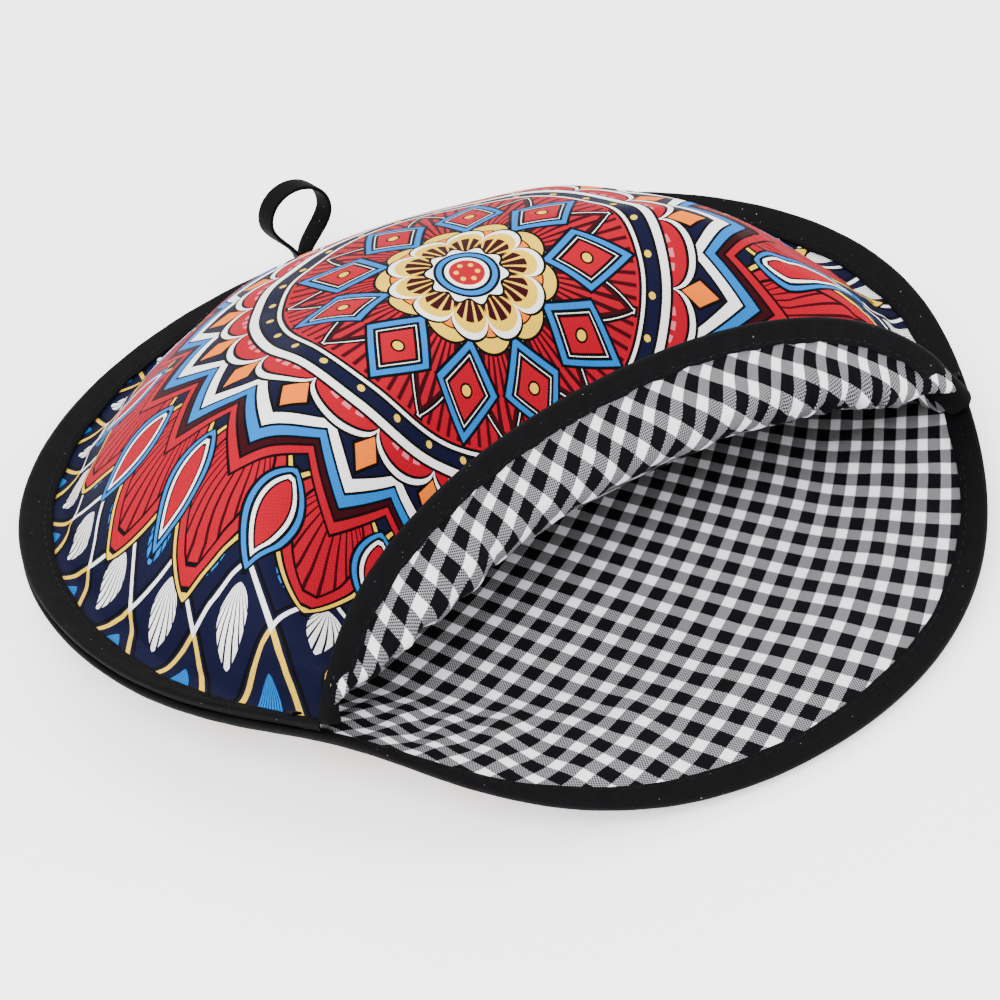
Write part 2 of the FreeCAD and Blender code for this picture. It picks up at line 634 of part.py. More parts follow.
def make_hanging_loop():
    """A folded tape bent into a round loop, both ends side by side on the outside of the rim's binding."""
    body = doc.addObject("PartDesign::Body", "hanging_loop_body")
    path = body.newObject("Sketcher::SketchObject", "loop_path")
    attach(path, body, "XZ_Plane")
    radius = size("loop_radius")
    spread = size("loop_end_spread")
    top = size("loop_rise") - size("loop_tape_thickness") / 2 - radius
    reach = math.hypot(spread, top)
    touch = math.acos(radius / reach) + math.atan2(spread, top)
    right = FreeCAD.Vector(radius * math.sin(math.pi - touch), top - radius * math.cos(touch), 0)
    right_foot = FreeCAD.Vector(spread, 0, 0)
    left = FreeCAD.Vector(-right.x, right.y, 0)
    left_foot = FreeCAD.Vector(-spread, 0, 0)
    path.addGeometry(Part.LineSegment(right_foot, right), False)
    path.addGeometry(Part.Arc(right, FreeCAD.Vector(0, top + radius, 0), left), False)
    path.addGeometry(Part.LineSegment(left, left_foot), False)
    path.addConstraint(Sketcher.Constraint("Tangent", 0, 2, 1, 1))
    path.addConstraint(Sketcher.Constraint("Tangent", 1, 2, 2, 1))
    path.addConstraint(Sketcher.Constraint("PointOnObject", 0, 1, -1))
    path.addConstraint(Sketcher.Constraint("Symmetric", 0, 1, 2, 2, -2))
    path.addConstraint(Sketcher.Constraint("PointOnObject", 1, 3, -2))
    bound = (
        ("spread", Sketcher.Constraint("DistanceX", -1, 1, 0, 1, spread), "Sizes.loop_end_spread"),
        ("round_top", Sketcher.Constraint("Radius", 1, radius), "Sizes.loop_radius"),
        (
            "centre_height",
            Sketcher.Constraint("DistanceY", -1, 1, 1, 3, top),
            "Sizes.loop_rise - Sizes.loop_tape_thickness / 2 - Sizes.loop_radius",
        ),
    )
    for label, constraint, expression in bound:
        index = path.addConstraint(constraint)
        path.renameConstraint(index, label)
        path.setExpression(f"Constraints.{label}", expression)
    section = body.newObject("Sketcher::SketchObject", "loop_section")
    attach(section, body, "XY_Plane")
    section.setExpression(".AttachmentOffset.Base.x", "Sizes.loop_end_spread")
    centred_rectangle(
        section,
        size("loop_tape_thickness"),
        size("loop_tape_width"),
        "loop_tape_thickness",
        "loop_tape_width",
    )
    doc.recompute()
    pipe = body.newObject("PartDesign::AdditivePipe", "loop_tape")
    pipe.Profile = section
    pipe.Spine = (path, ["Edge1", "Edge2", "Edge3"])
    body.Tip = pipe
    turn = size("loop_place")
    radius_out = RIM + size("loop_clearance") + size("loop_tape_width") / 2
    x, y = on_circle(radius_out, turn)
    foot = underside(*on_circle(RIM, turn)) + RIM_BINDING_FOOT
    facing = FreeCAD.Rotation(FreeCAD.Vector(0, 0, 1), turn - 180.0)
    body.Placement = FreeCAD.Placement(FreeCAD.Vector(x, y, foot), facing)
    return node(body, "hanging_loop")


make_bottom_panel()
make_bottom_binding()
make_top_panel()
make_rim_binding()
make_mouth_binding()
make_seams()
make_corner_tacks()
make_hanging_loop()
doc.recompute()

# ---------------------------------------------------------------------------- check and write
for item in doc.Objects:
    if "Invalid" in item.State or "Error" in item.State:
        raise RuntimeError(f"{item.Name} failed: {item.State}")
for item in nodes:
    if item.Shape.isNull() or not item.Shape.isValid():
        raise RuntimeError(f"{item.Label} has no valid shape")

os.makedirs(PARTS_FOLDER, exist_ok=True)
for item in nodes:
    item.Shape.exportStep(os.path.join(PARTS_FOLDER, f"{item.Label}.step"))
    print(item.Label, round(item.Shape.Volume), "mm3", len(item.Shape.Solids), "solids")
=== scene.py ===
# %% [markdown]
# # A cloth tortilla warmer, piece by piece
# A tortilla warmer is a flat pouch of two padded panels, sewn together round the back and open in front.
# Each panel is a sandwich: printed cloth outside, batting in the middle, checked lining inside. Black bias
# tape binds every edge, and a loop of the same tape hangs the pouch up. This script builds those pieces as
# soft sheets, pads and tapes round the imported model, which already says where everything is. Lengths are in
# metres: +Z is up, the mouth faces -Y, and the origin is the middle of the face that the pouch rests on.

# %% Start
import math
import bpy
import numpy as np
from mathutils import Matrix, Vector


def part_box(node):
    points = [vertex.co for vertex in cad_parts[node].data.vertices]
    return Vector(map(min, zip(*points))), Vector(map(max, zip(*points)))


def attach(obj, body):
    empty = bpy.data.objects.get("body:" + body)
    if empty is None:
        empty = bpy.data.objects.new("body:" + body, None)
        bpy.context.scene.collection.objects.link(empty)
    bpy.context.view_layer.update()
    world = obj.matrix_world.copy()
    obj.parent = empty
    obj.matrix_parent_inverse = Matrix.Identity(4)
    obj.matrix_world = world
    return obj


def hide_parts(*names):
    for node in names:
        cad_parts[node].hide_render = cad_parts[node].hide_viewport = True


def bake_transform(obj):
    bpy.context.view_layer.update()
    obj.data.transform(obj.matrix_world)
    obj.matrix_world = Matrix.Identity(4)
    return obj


MM = 0.001
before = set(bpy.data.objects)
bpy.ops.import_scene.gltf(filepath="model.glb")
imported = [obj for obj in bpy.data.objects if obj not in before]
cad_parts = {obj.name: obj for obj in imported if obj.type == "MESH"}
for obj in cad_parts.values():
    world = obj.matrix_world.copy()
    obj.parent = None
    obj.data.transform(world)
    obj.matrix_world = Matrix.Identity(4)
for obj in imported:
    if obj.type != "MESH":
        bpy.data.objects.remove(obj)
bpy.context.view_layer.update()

# %% [markdown]
# ## The camera
# A long lens looks down at the pouch from the left of its mouth, so that the dome, the arch of the mouth and
# the lining inside can all be seen. The camera is tipped a little about its own axis.

# %% Camera
CAMERA_PLACE = Vector((-430.95, -657.33, 636.54)) * MM
CAMERA_BACK = Vector((-0.42173, -0.65402, 0.62801))
CAMERA_AZIMUTH = math.radians(-32.82)
CAMERA_ROLL = math.radians(5.17)
LENS = 114.1
SENSOR = 36.0

level = Vector((math.cos(CAMERA_AZIMUTH), math.sin(CAMERA_AZIMUTH), 0))
upright = CAMERA_BACK.cross(level)
side = level * math.cos(CAMERA_ROLL) - upright * math.sin(CAMERA_ROLL)
upward = level * math.sin(CAMERA_ROLL) + upright * math.cos(CAMERA_ROLL)
camera_data = bpy.data.cameras.new("camera")
camera_data.lens = LENS
camera_data.sensor_width = SENSOR
camera = bpy.data.objects.new("camera", camera_data)
bpy.context.scene.collection.objects.link(camera)
turned = Matrix((side, upward, CAMERA_BACK)).transposed().to_4x4()
camera.matrix_world = Matrix.Translation(CAMERA_PLACE) @ turned
bpy.context.scene.camera = camera
print("camera at", [round(value, 3) for value in camera.location])

# %% [markdown]
# ## The form of the pouch
# Both panels start as discs. The bottom one is flat in the middle and turns up at its rim, most beside the
# mouth. The top one is sewn to that rim round the back; in front its edge stands free as an arch. These few
# functions say where a point of each disc lies. They take arrays, so that a whole sheet is placed at once.

# %% Sizes
RIM = 152.5 * MM                # outer edge of the bound rim
REST = 92 * MM                  # flat middle that lies on the table
BINDING_EDGE = 143 * MM         # inner edge of the bindings
BINDING_WIDTH = 9.5 * MM
DOME_FOOT = 141.5 * MM          # where the top panel becomes a flat flange
FLANGE_END = 151.3 * MM
CORNER = 58.0                   # degrees from the front to each corner of the mouth
CLOTH = 0.5 * MM
LINING = 0.45 * MM
PANEL = 4.5 * MM                # whole sandwich where the batting is full
PRESSED = 2.0 * MM              # and where a seam presses it flat
FLANGE_TOP = 6.22 * MM          # top of the sewn edge over the underside of the bottom panel


def smooth(value):
    """Clips to 0..1 and eases both ends."""
    clipped = np.clip(value, 0, 1)
    return clipped * clipped * (3 - 2 * clipped)


def unit(vectors):
    """The same directions with a length of 1."""
    return vectors / np.maximum(np.linalg.norm(vectors, axis=-1, keepdims=True), 1e-12)


def run_along(line):
    """The length of a line up to each of its points."""
    steps = np.linalg.norm(np.diff(line, axis=0), axis=-1)
    return np.concatenate([[0], np.cumsum(steps)])


def on_circle(radius, angle):
    """A place seen from above, at degrees round the rim from the front, positive towards +X."""
    turn = np.radians(angle)
    return np.stack([radius * np.sin(turn), -radius * np.cos(turn)], -1)


print("the rim is", round(2 * RIM / MM, 1), "mm across")

# %% [markdown]
# The bottom panel's rim rises beside the mouth, a little more on the left, and is low at the lip and the
# back. The lying pouch isn't quite round either: it is drawn in at the corners of the mouth.

# %% Bottom panel's form
PEAKS = (26.0 * MM, 22.0 * MM)  # height of the rim's two peaks, left and right
PEAK_ANGLES = (60.0, 80.0)      # and their degrees from the front
LIP_LIFT = 3.3 * MM
BACK_LIFT = 2.8 * MM
RIM_CURVE = 1.8                 # above 1, the panel stays low at first and rises late
# Where the pouch is drawn in or pushed out: share of the radius, place and width in degrees.
PULLS = ((-0.06, -57, 17), (-0.05, 62, 26), (0.03, -110, 32))


def rim_lift(angle):
    """Underside of the rim above the table: low at the front lip and the back, high beside the mouth."""
    turn = np.abs(angle)
    peak = np.where(angle < 0, *PEAKS)
    peak_angle = np.where(angle < 0, *PEAK_ANGLES)
    rising = LIP_LIFT + (peak - LIP_LIFT) * np.sin(np.pi / 2 * np.clip(turn / peak_angle, 0, 1)) ** 3
    past = np.clip((turn - peak_angle) / (180 - peak_angle), 0, 1)
    falling = BACK_LIFT + (peak - BACK_LIFT) * np.cos(np.pi / 2 * past) ** 2
    return np.where(turn < peak_angle, rising, falling)


def toward_rim(x, y):
    """0 over the flat middle, 1 at the rim."""
    return np.clip((np.hypot(x, y) - REST) / (RIM - REST), 0, None)


def underside(x, y):
    """Height of the bottom panel's lower face."""
    return rim_lift(np.degrees(np.arctan2(x, -y))) * toward_rim(x, y) ** RIM_CURVE


def laid(x, y, z):
    """A point of the round pouch as it lies: drawn in at the mouth's corners, pushed out on the left."""
    share = toward_rim(x, y)
    angle = np.degrees(np.arctan2(x, -y))
    scale = 1.0
    for change, place, width in PULLS:
        scale = scale + share * change * np.exp(-((angle - place) / width) ** 2)
    return np.stack([x * scale, y * scale, z + 0 * x], -1)


# %% [markdown]
# Each place along the mouth's edge starts a line of points: down the band, through the valley behind it, over
# the dome and out to the seam. A smooth curve through those points carries one thread of the top panel.

# %% Top panel's form
RIDGE_HEIGHTS = (86.5 * MM, 79 * MM, 55 * MM)   # of the middle line: ahead, in the middle, behind
RIDGE_PLACES = (0.45, 0.7)      # how far out the first and the last are, as shares of the rim
SHOULDER = 4.4                  # the higher, the flatter the dome and the steeper its side
SIDE_EASE = 1.35
SWELL_REACH = 90 * MM
MOUTH_ARCH = 2.3                # the higher, the broader the arch
SIDE_SEAM = 60.0                # degrees round the rim where the free edge's own seam ends
LAST_TURN = 0.8                 # and how much further the seam runs up to the corner
BAND_LEAN = (0.25, 0.26)        # how the band leans in from the sides, and towards the lip
BELLY = (0, 0.42, 0.62)         # a point on the way from the fold to the valley
CORNER_PLACE = on_circle(RIM, CORNER)
MOUTH_ROUND = math.radians(64.8)
MOUTH_TOP = 77 * MM
MOUTH_BACK = 49 * MM
FREE_SHARE = 0.82               # share of the mouth's edge that stands clear of the seam
BAND_SHARE = 0.955              # share over which the edge turns under in a band
FOLD_FALL = 25 * MM
VALLEY_TOP = 27 * MM
VALLEY_BACK = 26 * MM
SLOPE = 55 * MM
BACK_SWELL = 6 * MM             # how much fuller the soft shoulder at the back is than the model's


def ridge(y):
    """Height of the top panel along its middle line."""
    front, middle, back = RIDGE_HEIGHTS
    ahead, behind = RIDGE_PLACES
    bend = ((front - middle) / ahead + (back - middle) / behind) / (ahead + behind)
    slope = (back - middle) / behind - bend * behind
    return middle + slope * y / RIM + bend * (y / RIM) ** 2


def hood(x, y):
    """Height of the top panel behind its valley."""
    share = np.hypot(x, y) / DOME_FOOT
    full = np.clip(1 - share ** SHOULDER, 0, None) ** SIDE_EASE
    shoulder = BACK_SWELL * 4 * full * (1 - full) * smooth(y / SWELL_REACH)
    return (underside(x, y) + FLANGE_TOP) * (1 - full) + ridge(y) * full + shoulder


def mouth_edge(share):
    """The mouth's edge from the left corner, at -1, to the right one, at 1, before it is laid."""
    ends = [rim_lift(np.array(turn)) + FLANGE_TOP for turn in (-CORNER, CORNER)]
    corner = ends[0] + (ends[1] - ends[0]) * (share + 1) / 2
    x = CORNER_PLACE[0] * np.sin(share * MOUTH_ROUND) / math.sin(MOUTH_ROUND)
    y = -MOUTH_BACK + (CORNER_PLACE[1] + MOUTH_BACK) * np.abs(share) ** 2
    z = corner + (MOUTH_TOP - corner) * (1 - np.abs(share) ** MOUTH_ARCH)
    return np.stack([x, y, z], -1)


def past_free(share):
    """0 where the mouth's edge stands free, 1 at its corners."""
    return (np.abs(share) - FREE_SHARE) / (1 - FREE_SHARE)


def foot_angle(share):
    """Where round the rim the cloth that starts at that place of the mouth's edge is sewn down."""
    free = 180 - (180 - SIDE_SEAM) * share / FREE_SHARE
    past = past_free(share)
    sewn = np.where(share > 0, SIDE_SEAM - LAST_TURN * past, 360 - SIDE_SEAM + LAST_TURN * past)
    return np.where(np.abs(share) <= FREE_SHARE, free, sewn)


DOME_SHARES = (0.06, 0.12, 0.25, 0.38, 0.5, 0.62, 0.74, 0.85, 0.93, 1.0)


def column_points(share):
    """Points from the mouth's edge down its band, through the valley and over the dome to the seam."""
    edge = mouth_edge(share)
    full = np.clip(1 - (np.abs(share) / BAND_SHARE) ** 4, 0, None)
    down = unit(np.stack([-BAND_LEAN[0] * share, -BAND_LEAN[1] + 0 * share, -1 + 0 * share], -1))
    fold = edge + down * (FOLD_FALL * full)[:, None]
    step = np.stack([0 * share, VALLEY_BACK * full, -(fold[:, 2] - VALLEY_TOP) * full], -1)
    belly = fold + step * BELLY
    valley = fold + step
    past = np.clip(past_free(share), 0, 1)
    foot = on_circle(DOME_FOOT + (FLANGE_END - DOME_FOOT) * past ** 2, foot_angle(share))
    way = np.linalg.norm(foot - valley[:, :2], axis=-1)
    run_out = np.minimum(SLOPE, 0.6 * way)
    points = [laid(*place.T) for place in (edge, (edge + fold) / 2, fold, belly, valley)]
    for place in DOME_SHARES:
        x, y = (valley[:, :2] + (foot - valley[:, :2]) * place).T
        risen = smooth(place * way / run_out)
        points.append(laid(x, y, valley[:, 2] + (hood(x, y) - valley[:, 2]) * risen))
    for place in (0.5, 1.0):
        x, y = (foot * (1 + place * (FLANGE_END / np.linalg.norm(foot, axis=-1, keepdims=True) - 1))).T
        points.append(laid(x, y, underside(x, y) + FLANGE_TOP))
    return np.stack(points)


def through(points, shares):
    """Smooth curves through points (row, column, 3), read at shares of each one's length."""
    steps = np.maximum(np.linalg.norm(np.diff(points, axis=0), axis=-1), 1e-6)
    run = np.concatenate([np.zeros((1, steps.shape[1])), np.cumsum(steps, 0)])
    slopes = np.diff(points, axis=0) / steps[..., None]
    before = steps[:-1, :, None]
    after = steps[1:, :, None]
    inner = (slopes[:-1] * after + slopes[1:] * before) / (before + after)
    tangents = np.concatenate([slopes[:1], inner, slopes[-1:]])
    found = np.empty((len(shares), points.shape[1], 3))
    for column in range(points.shape[1]):
        wanted = shares * run[-1, column]
        row = np.clip(np.searchsorted(run[:, column], wanted, side="right") - 1, 0, len(steps) - 1)
        long = steps[row, column]
        t = ((wanted - run[row, column]) / long)[:, None]
        long = long[:, None]
        start, end = points[row, column], points[row + 1, column]
        leave, arrive = tangents[row, column] * long, tangents[row + 1, column] * long
        found[:, column] = (start * (2 * t**3 - 3 * t**2 + 1) + end * (3 * t**2 - 2 * t**3)
                            + leave * (t**3 - 2 * t**2 + t) + arrive * (t**3 - t**2))
    return found


# %% [markdown]
# ## How sheets are laid
# Every cloth starts as a flat grid and is then laid into its form, the way a cut piece is. The grid's own
# places, from -1 to 1 both ways, say where a point of the flat cut goes. A solidify step gives the second
# face, and both faces are put at their exact depth. Each point also keeps its place in the flat cut as the
# piece's own UV, in metres, so that weave and print run with the cloth and bend with it.

# %% Helpers
def pick_only(*pieces):
    """Selects these pieces and nothing else."""
    for other in bpy.context.selected_objects:
        other.select_set(False)
    for piece in pieces:
        piece.select_set(True)
    if pieces:
        bpy.context.view_layer.objects.active = pieces[0]


def flat_grid(name, columns, rows):
    """A flat grid, and for each of its points the place, from -1 to 1 both ways, the row and the column."""
    pick_only()
    bpy.ops.mesh.primitive_grid_add(x_subdivisions=columns, y_subdivisions=rows, size=2, calc_uvs=False)
    piece = bpy.context.active_object
    piece.name = name
    piece.data.name = name
    places = np.empty(len(piece.data.vertices) * 3)
    piece.data.vertices.foreach_get("co", places)
    places = places.reshape(-1, 3)[:, :2]
    column, row = np.rint((places + 1) / 2 * (columns, rows)).astype(int).T
    return piece, places, row, column


WELD = 0.01 * MM                # points nearer than this become one


def close_mesh(piece, weld=False, cap=False):
    """Welds a mesh and caps its open ends where that is asked, and turns every face outward."""
    pick_only(piece)
    bpy.ops.object.mode_set(mode="EDIT")
    bpy.ops.mesh.select_all(action="SELECT")
    if weld:
        bpy.ops.mesh.remove_doubles(threshold=WELD)
    if cap:
        bpy.ops.mesh.select_all(action="DESELECT")
        bpy.ops.mesh.select_non_manifold()
        bpy.ops.mesh.fill_holes(sides=0)
        bpy.ops.mesh.select_all(action="SELECT")
    bpy.ops.mesh.normals_make_consistent(inside=False)
    bpy.ops.object.mode_set(mode="OBJECT")


def set_cut(piece, cut):
    """Stores each point's place in the flat cut, in metres, as the piece's UV."""
    data = piece.data
    layer = data.uv_layers.get("flat_cut") or data.uv_layers.new(name="flat_cut")
    corners = np.empty(len(data.loops), int)
    data.loops.foreach_get("vertex_index", corners)
    layer.data.foreach_set("uv", cut[corners].astype(np.float32).ravel())


def give_thickness(piece, upper, lower, cut):
    """Makes the grid a closed piece between two faces, given point by point."""
    pick_only(piece)
    thick = piece.modifiers.new("thickness", "SOLIDIFY")
    thick.thickness = 1.0
    thick.offset = -1.0
    bpy.ops.object.modifier_apply(modifier=thick.name)
    data = piece.data
    count = len(upper)
    assert len(data.vertices) == 2 * count
    places = np.empty(len(data.vertices) * 3)
    data.vertices.foreach_get("co", places)
    height = places.reshape(-1, 3)[:, 2]
    first_is_upper = height[:count].mean() > height[count:].mean()
    faces = (upper, lower) if first_is_upper else (lower, upper)
    data.vertices.foreach_set("co", np.concatenate(faces).ravel())
    data.update()
    set_cut(piece, np.concatenate([cut, cut]))
    close_mesh(piece)
    bpy.ops.object.shade_smooth()
    return piece


# %% [markdown]
# ## The top panel's surface
# One surface serves the whole sandwich: the printed cloth is its outer skin, the padding lies under that and
# the lining under the padding. Where a seam or a binding holds the panel it is pressed to less than half.

# %% Top surface
TOP_COLUMNS = 220
TOP_ROWS = 150
LAST_SHARE = 0.985              # the cloths end just inside the ends of the mouth's tape
UP = np.array([0.0, 0.0, 1.0])


top_share = np.linspace(-LAST_SHARE, LAST_SHARE, TOP_COLUMNS + 1)
top_place = np.linspace(0, 1, TOP_ROWS + 1)
top_key = column_points(top_share)
top_length = np.linalg.norm(np.diff(top_key, axis=0), axis=-1).sum(0)
top_surface = through(top_key, top_place)
top_out = unit(np.cross(np.gradient(top_surface, axis=1), np.gradient(top_surface, axis=0)))
from_mouth = top_place[:, None] * top_length[None, :]
from_seam = (1 - top_place[:, None]) * top_length[None, :]
# In the seam the layers lie flat on each other, so their depth is measured straight down.
in_seam = 1 - smooth((from_seam - 10 * MM) / (10 * MM))
at_corner = smooth((np.abs(top_share) - 0.90) / 0.08)[None, :]
straight = np.maximum(in_seam * (1 - smooth((12 * MM - from_mouth) / (8 * MM))), at_corner)[..., None]
top_out = unit(top_out * (1 - straight) + UP * straight)
full = smooth((from_mouth - 9.5 * MM) / (12 * MM)) * smooth((from_seam - 9.0 * MM) / (14 * MM))
full = full * (1 - smooth((np.abs(top_share) - 0.76) / 0.14))[None, :]
top_depth = PRESSED + (PANEL - PRESSED) * full

front_cut = on_circle(RIM, CORNER * top_share)
back_cut = on_circle(RIM, foot_angle(top_share))
top_cut = front_cut[None] + (back_cut - front_cut)[None] * top_place[:, None, None]
print("top panel: cloth lengths from mouth to seam in mm",
      (top_length[[110, 133, 156, 178, 200]] * 1000).round(0))

# %% [markdown]
# ## Waves and air
# Cloth isn't smooth. The padded panel lies in long shallow waves, and small folds run into its seam. A short
# cloth simulation then lets it settle: a coarser grid, a little too big for its form, is held where seams and
# bindings hold it and filled with a little air. Its moves are kept short, so that it stays in its layer. At
# the corners the sewn edge climbs over the rim's tape.

# %% Waves of the top panel
PUCKERS = 46                    # folds per radian of the seam
PUCKER_SIZE = 0.45 * MM
PUCKER_REACH = 16 * MM
CLIMB = 1.1 * MM
AIR = 3.0                       # pressure in the simulated cloth
FRAMES = 20
LONGEST_MOVE = 1.1 * MM
COARSE = 2                      # the simulated grid takes every second row and column
SETTLING = {
    "quality": 6, "mass": 0.12, "tension_stiffness": 20, "compression_stiffness": 12, "shear_stiffness": 6,
    "bending_stiffness": 0.05, "shrink_min": -0.012, "use_pressure": True, "vertex_group_mass": "held",
}
WAVES = (
    # size in mm, waves per metre along x and y of the flat cut, phase
    (0.55, 9.0, 4.0, 0.3),
    (0.45, -5.5, 8.5, 1.9),
    (0.30, 15.0, -11.0, 4.1),
    (0.22, -19.0, -16.0, 2.6),
    (0.15, 27.0, 21.0, 0.9),
)


def rolling(cut):
    """Long shallow waves of a padded cloth."""
    height = 0
    for size, along_x, along_y, phase in WAVES:
        turns = cut[..., 0] * along_x + cut[..., 1] * along_y
        height = height + size * MM * np.sin(2 * np.pi * turns + phase)
    return height


def seam_puckers(run, turn):
    """Small folds that run into a seam, fading with the distance from it."""
    fade = np.exp(-np.clip(run, 0, None) / PUCKER_REACH)
    uneven = 0.6 + 0.4 * np.sin(turn * 7.3 + 1.0) * np.sin(turn * 3.1)
    return fade * uneven * np.sin(turn * PUCKERS + 2.0 * np.sin(turn * 5))


def settled(points, out, held):
    """How far each point of a surface moves outward when its cloth settles."""
    coarse, coarse_out = points[::COARSE, ::COARSE], out[::COARSE, ::COARSE]
    rows, columns = coarse.shape[:2]
    cloth, _, row, column = flat_grid("settling_cloth", columns - 1, rows - 1)
    cloth.data.vertices.foreach_set("co", coarse[row, column].ravel())
    cloth.data.update()
    pins = cloth.vertex_groups.new(name="held")
    for i, weight in enumerate(held[::COARSE, ::COARSE][row, column]):
        pins.add([i], float(weight), "REPLACE")
    face = cloth.data.polygons[len(cloth.data.polygons) // 2]
    outward = Vector(coarse_out[row, column][face.vertices[0]])
    settings = cloth.modifiers.new("cloth", "CLOTH").settings
    for setting, value in SETTLING.items():
        setattr(settings, setting, value)
    settings.uniform_pressure_force = AIR if face.normal.dot(outward) > 0 else -AIR
    settings.effector_weights.gravity = 0
    for number in range(1, FRAMES + 1):
        bpy.context.scene.frame_set(number)
    found = cloth.evaluated_get(bpy.context.evaluated_depsgraph_get())
    moved = np.empty(len(found.data.vertices) * 3)
    found.data.vertices.foreach_get("co", moved)
    bpy.data.objects.remove(cloth)
    bpy.context.scene.frame_set(1)
    grid = np.empty_like(coarse)
    grid[row, column] = moved.reshape(-1, 3)
    height = LONGEST_MOVE * np.tanh(((grid - coarse) * coarse_out).sum(-1) / LONGEST_MOVE)
    fine_rows, fine_columns = (np.arange(count) / COARSE for count in points.shape[:2])
    wide = np.stack([np.interp(fine_columns, np.arange(columns), line) for line in height])
    return np.stack([np.interp(fine_rows, np.arange(rows), line) for line in wide.T], 1)


seam_angle = np.radians(foot_angle(top_share))[None, :] + 0 * from_seam
climbs = smooth((np.abs(top_share) - 0.9) / 0.1)[None, :]
top_wave = rolling(top_cut) * full + CLIMB * climbs * (1 - top_place)[:, None]
top_wave = top_wave + PUCKER_SIZE * seam_puckers(from_seam - 10 * MM, seam_angle) * full
air_moves = settled(top_surface + top_out * top_wave[..., None], top_out, 1 - full)
least, most = (air_moves.min() / MM).round(2), (air_moves.max() / MM).round(2)
print("the cloth settled by", least, "to", most, "mm")
top_wave = top_wave + air_moves * full
top_outer = top_surface + top_out * top_wave[..., None]

# %% [markdown]
# ## The printed cloth of the top panel
# The outer cloth is a round cut of light woven polyester, 305 mm across. It is stitched in all round, so the
# print's rings stay round on the dome, and its front part goes down into the valley behind the mouth's band.

# %% Printed top
def top_piece(name, upper_depth, lower_depth, outer, cut=top_cut):
    """A closed layer of the top panel between two depths under its outer face."""
    piece, _, row, column = flat_grid(name, TOP_COLUMNS, TOP_ROWS)
    upper = (outer - top_out * upper_depth[..., None])[row, column]
    lower = (outer - top_out * lower_depth[..., None])[row, column]
    return give_thickness(piece, upper, lower, cut[row, column])


none_deep = 0 * top_depth
printed_top = top_piece("printed_top_cloth", none_deep, none_deep + CLOTH, top_outer)
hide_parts("dome_shell", "bend_shell", "flap_shell")
print("printed top", len(printed_top.data.polygons), "faces")

# %% [markdown]
# ## The padding of the top panel
# Needled batting holds the bread's heat. It fills the space between the two cloths and is cut with them, so
# the seams press it down to a thin edge. Nothing of it shows, but it gives the panel its soft round shoulder.

# %% Top padding
padding_gap = 0.12 * MM
top_padding = top_piece("top_padding", none_deep + CLOTH + padding_gap, top_depth - LINING - padding_gap,
                        top_outer)
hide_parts("dome_batting", "bend_batting", "flap_batting")
print("top padding", len(top_padding.data.polygons), "faces")

# %% [markdown]
# ## The checked lining of the top panel
# The lining hangs a little looser than the padding. On the mouth's band it shows as a collar of gingham cut
# on the bias, and it is pushed into fine parallel folds where the band turns under, most on the right. Its
# flat cut is a ring sector, longer than the tape that it is eased into.

# %% Top lining
LOOSE = 1.1 * MM                # how far the lining hangs from the padding
FINE_FOLD, FINE_SIZE = 6.4 * MM, 0.9
BROAD_FOLD, BROAD_SIZE = 17 * MM, 0.65
mouth_run = (top_share * 150 * MM)[None, :] + 0 * from_mouth
fold_waves =np.exp(-((from_mouth - 24 * MM) / (13 * MM)) ** 2)
right_side = smooth((top_share - 0.05) / 0.35)[None, :]
left_side = smooth((-top_share - 0.25) / 0.3)[None, :]
slanted = mouth_run + 0.35 * from_mouth
fine_folds = np.sin(2 * np.pi * slanted / FINE_FOLD + 1.5 * np.sin(2 * np.pi * mouth_run / (31 * MM)))
broad_folds = np.sin(2 * np.pi * (mouth_run - 0.2 * from_mouth) / BROAD_FOLD + 0.8)
folds = FINE_SIZE * right_side * fine_folds + BROAD_SIZE * (0.4 + left_side) * broad_folds
lining_wave = fold_waves * MM * folds * full
lining_outer = top_outer - top_out * (LOOSE * full + lining_wave)[..., None]
edge_run = run_along(top_surface[0])
edge_run = edge_run - np.interp(0, top_share, edge_run)
CUT_ROUND = 190 * MM            # the cut edge's radius, eased as the bias stretches
EASED = 1.24                    # the cut edge is longer than the tape that it is eased into
GATHERED = 1.1                  # and its folds take up some cloth across the band
cut_angle = np.degrees(edge_run * EASED / CUT_ROUND)[None, :]
lining_cut = on_circle(CUT_ROUND - from_mouth * GATHERED, cut_angle + 0 * from_mouth)
top_lining = top_piece("top_lining_cloth", top_depth - LINING, top_depth, lining_outer, lining_cut)
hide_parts("dome_lining", "bend_lining", "flap_lining")
print("top lining", len(top_lining.data.polygons), "faces")

# %% [markdown]
# ## The bottom panel
# A square grid is drawn out into a disc, which keeps the threads' places nearly even and has no pole in the
# middle. The same three layers follow: printed cloth below, batting, and the lining that the bread lies on.
# That lining has soft folds near the lip and was bound a little askew, more so towards the left corner.

# %% Bottom panel
BOTTOM_CELLS = 150
BATTING_FULL = 118 * MM         # radius inside which the batting is full
BATTING_FADE = 25 * MM
ASKEW = 12                      # degrees
ASKEW_FROM = 130 * MM


def disc_places(places):
    """Places on a square, from -1 to 1, drawn out into a disc of radius 1."""
    x, y = places.T
    wide = np.abs(x) >= np.abs(y)
    major, minor = np.where(wide, x, y), np.where(wide, y, x)
    turn = np.pi / 4 * minor / np.where(major == 0, 1, major)
    far, near = major * np.cos(turn), major * np.sin(turn)
    return np.where(wide, far, near), np.where(wide, near, far)


def straight_cut(x, y):
    """The flat cut as it lies."""
    return np.stack([x, y], -1)


def askew_cut(x, y):
    """The flat cut of a lining that was bound askew."""
    turn = np.radians(ASKEW * (1 - x / ASKEW_FROM))
    ahead = y + ASKEW_FROM
    return np.stack([x * np.cos(turn) - ahead * np.sin(turn), x * np.sin(turn) + ahead * np.cos(turn)], -1)


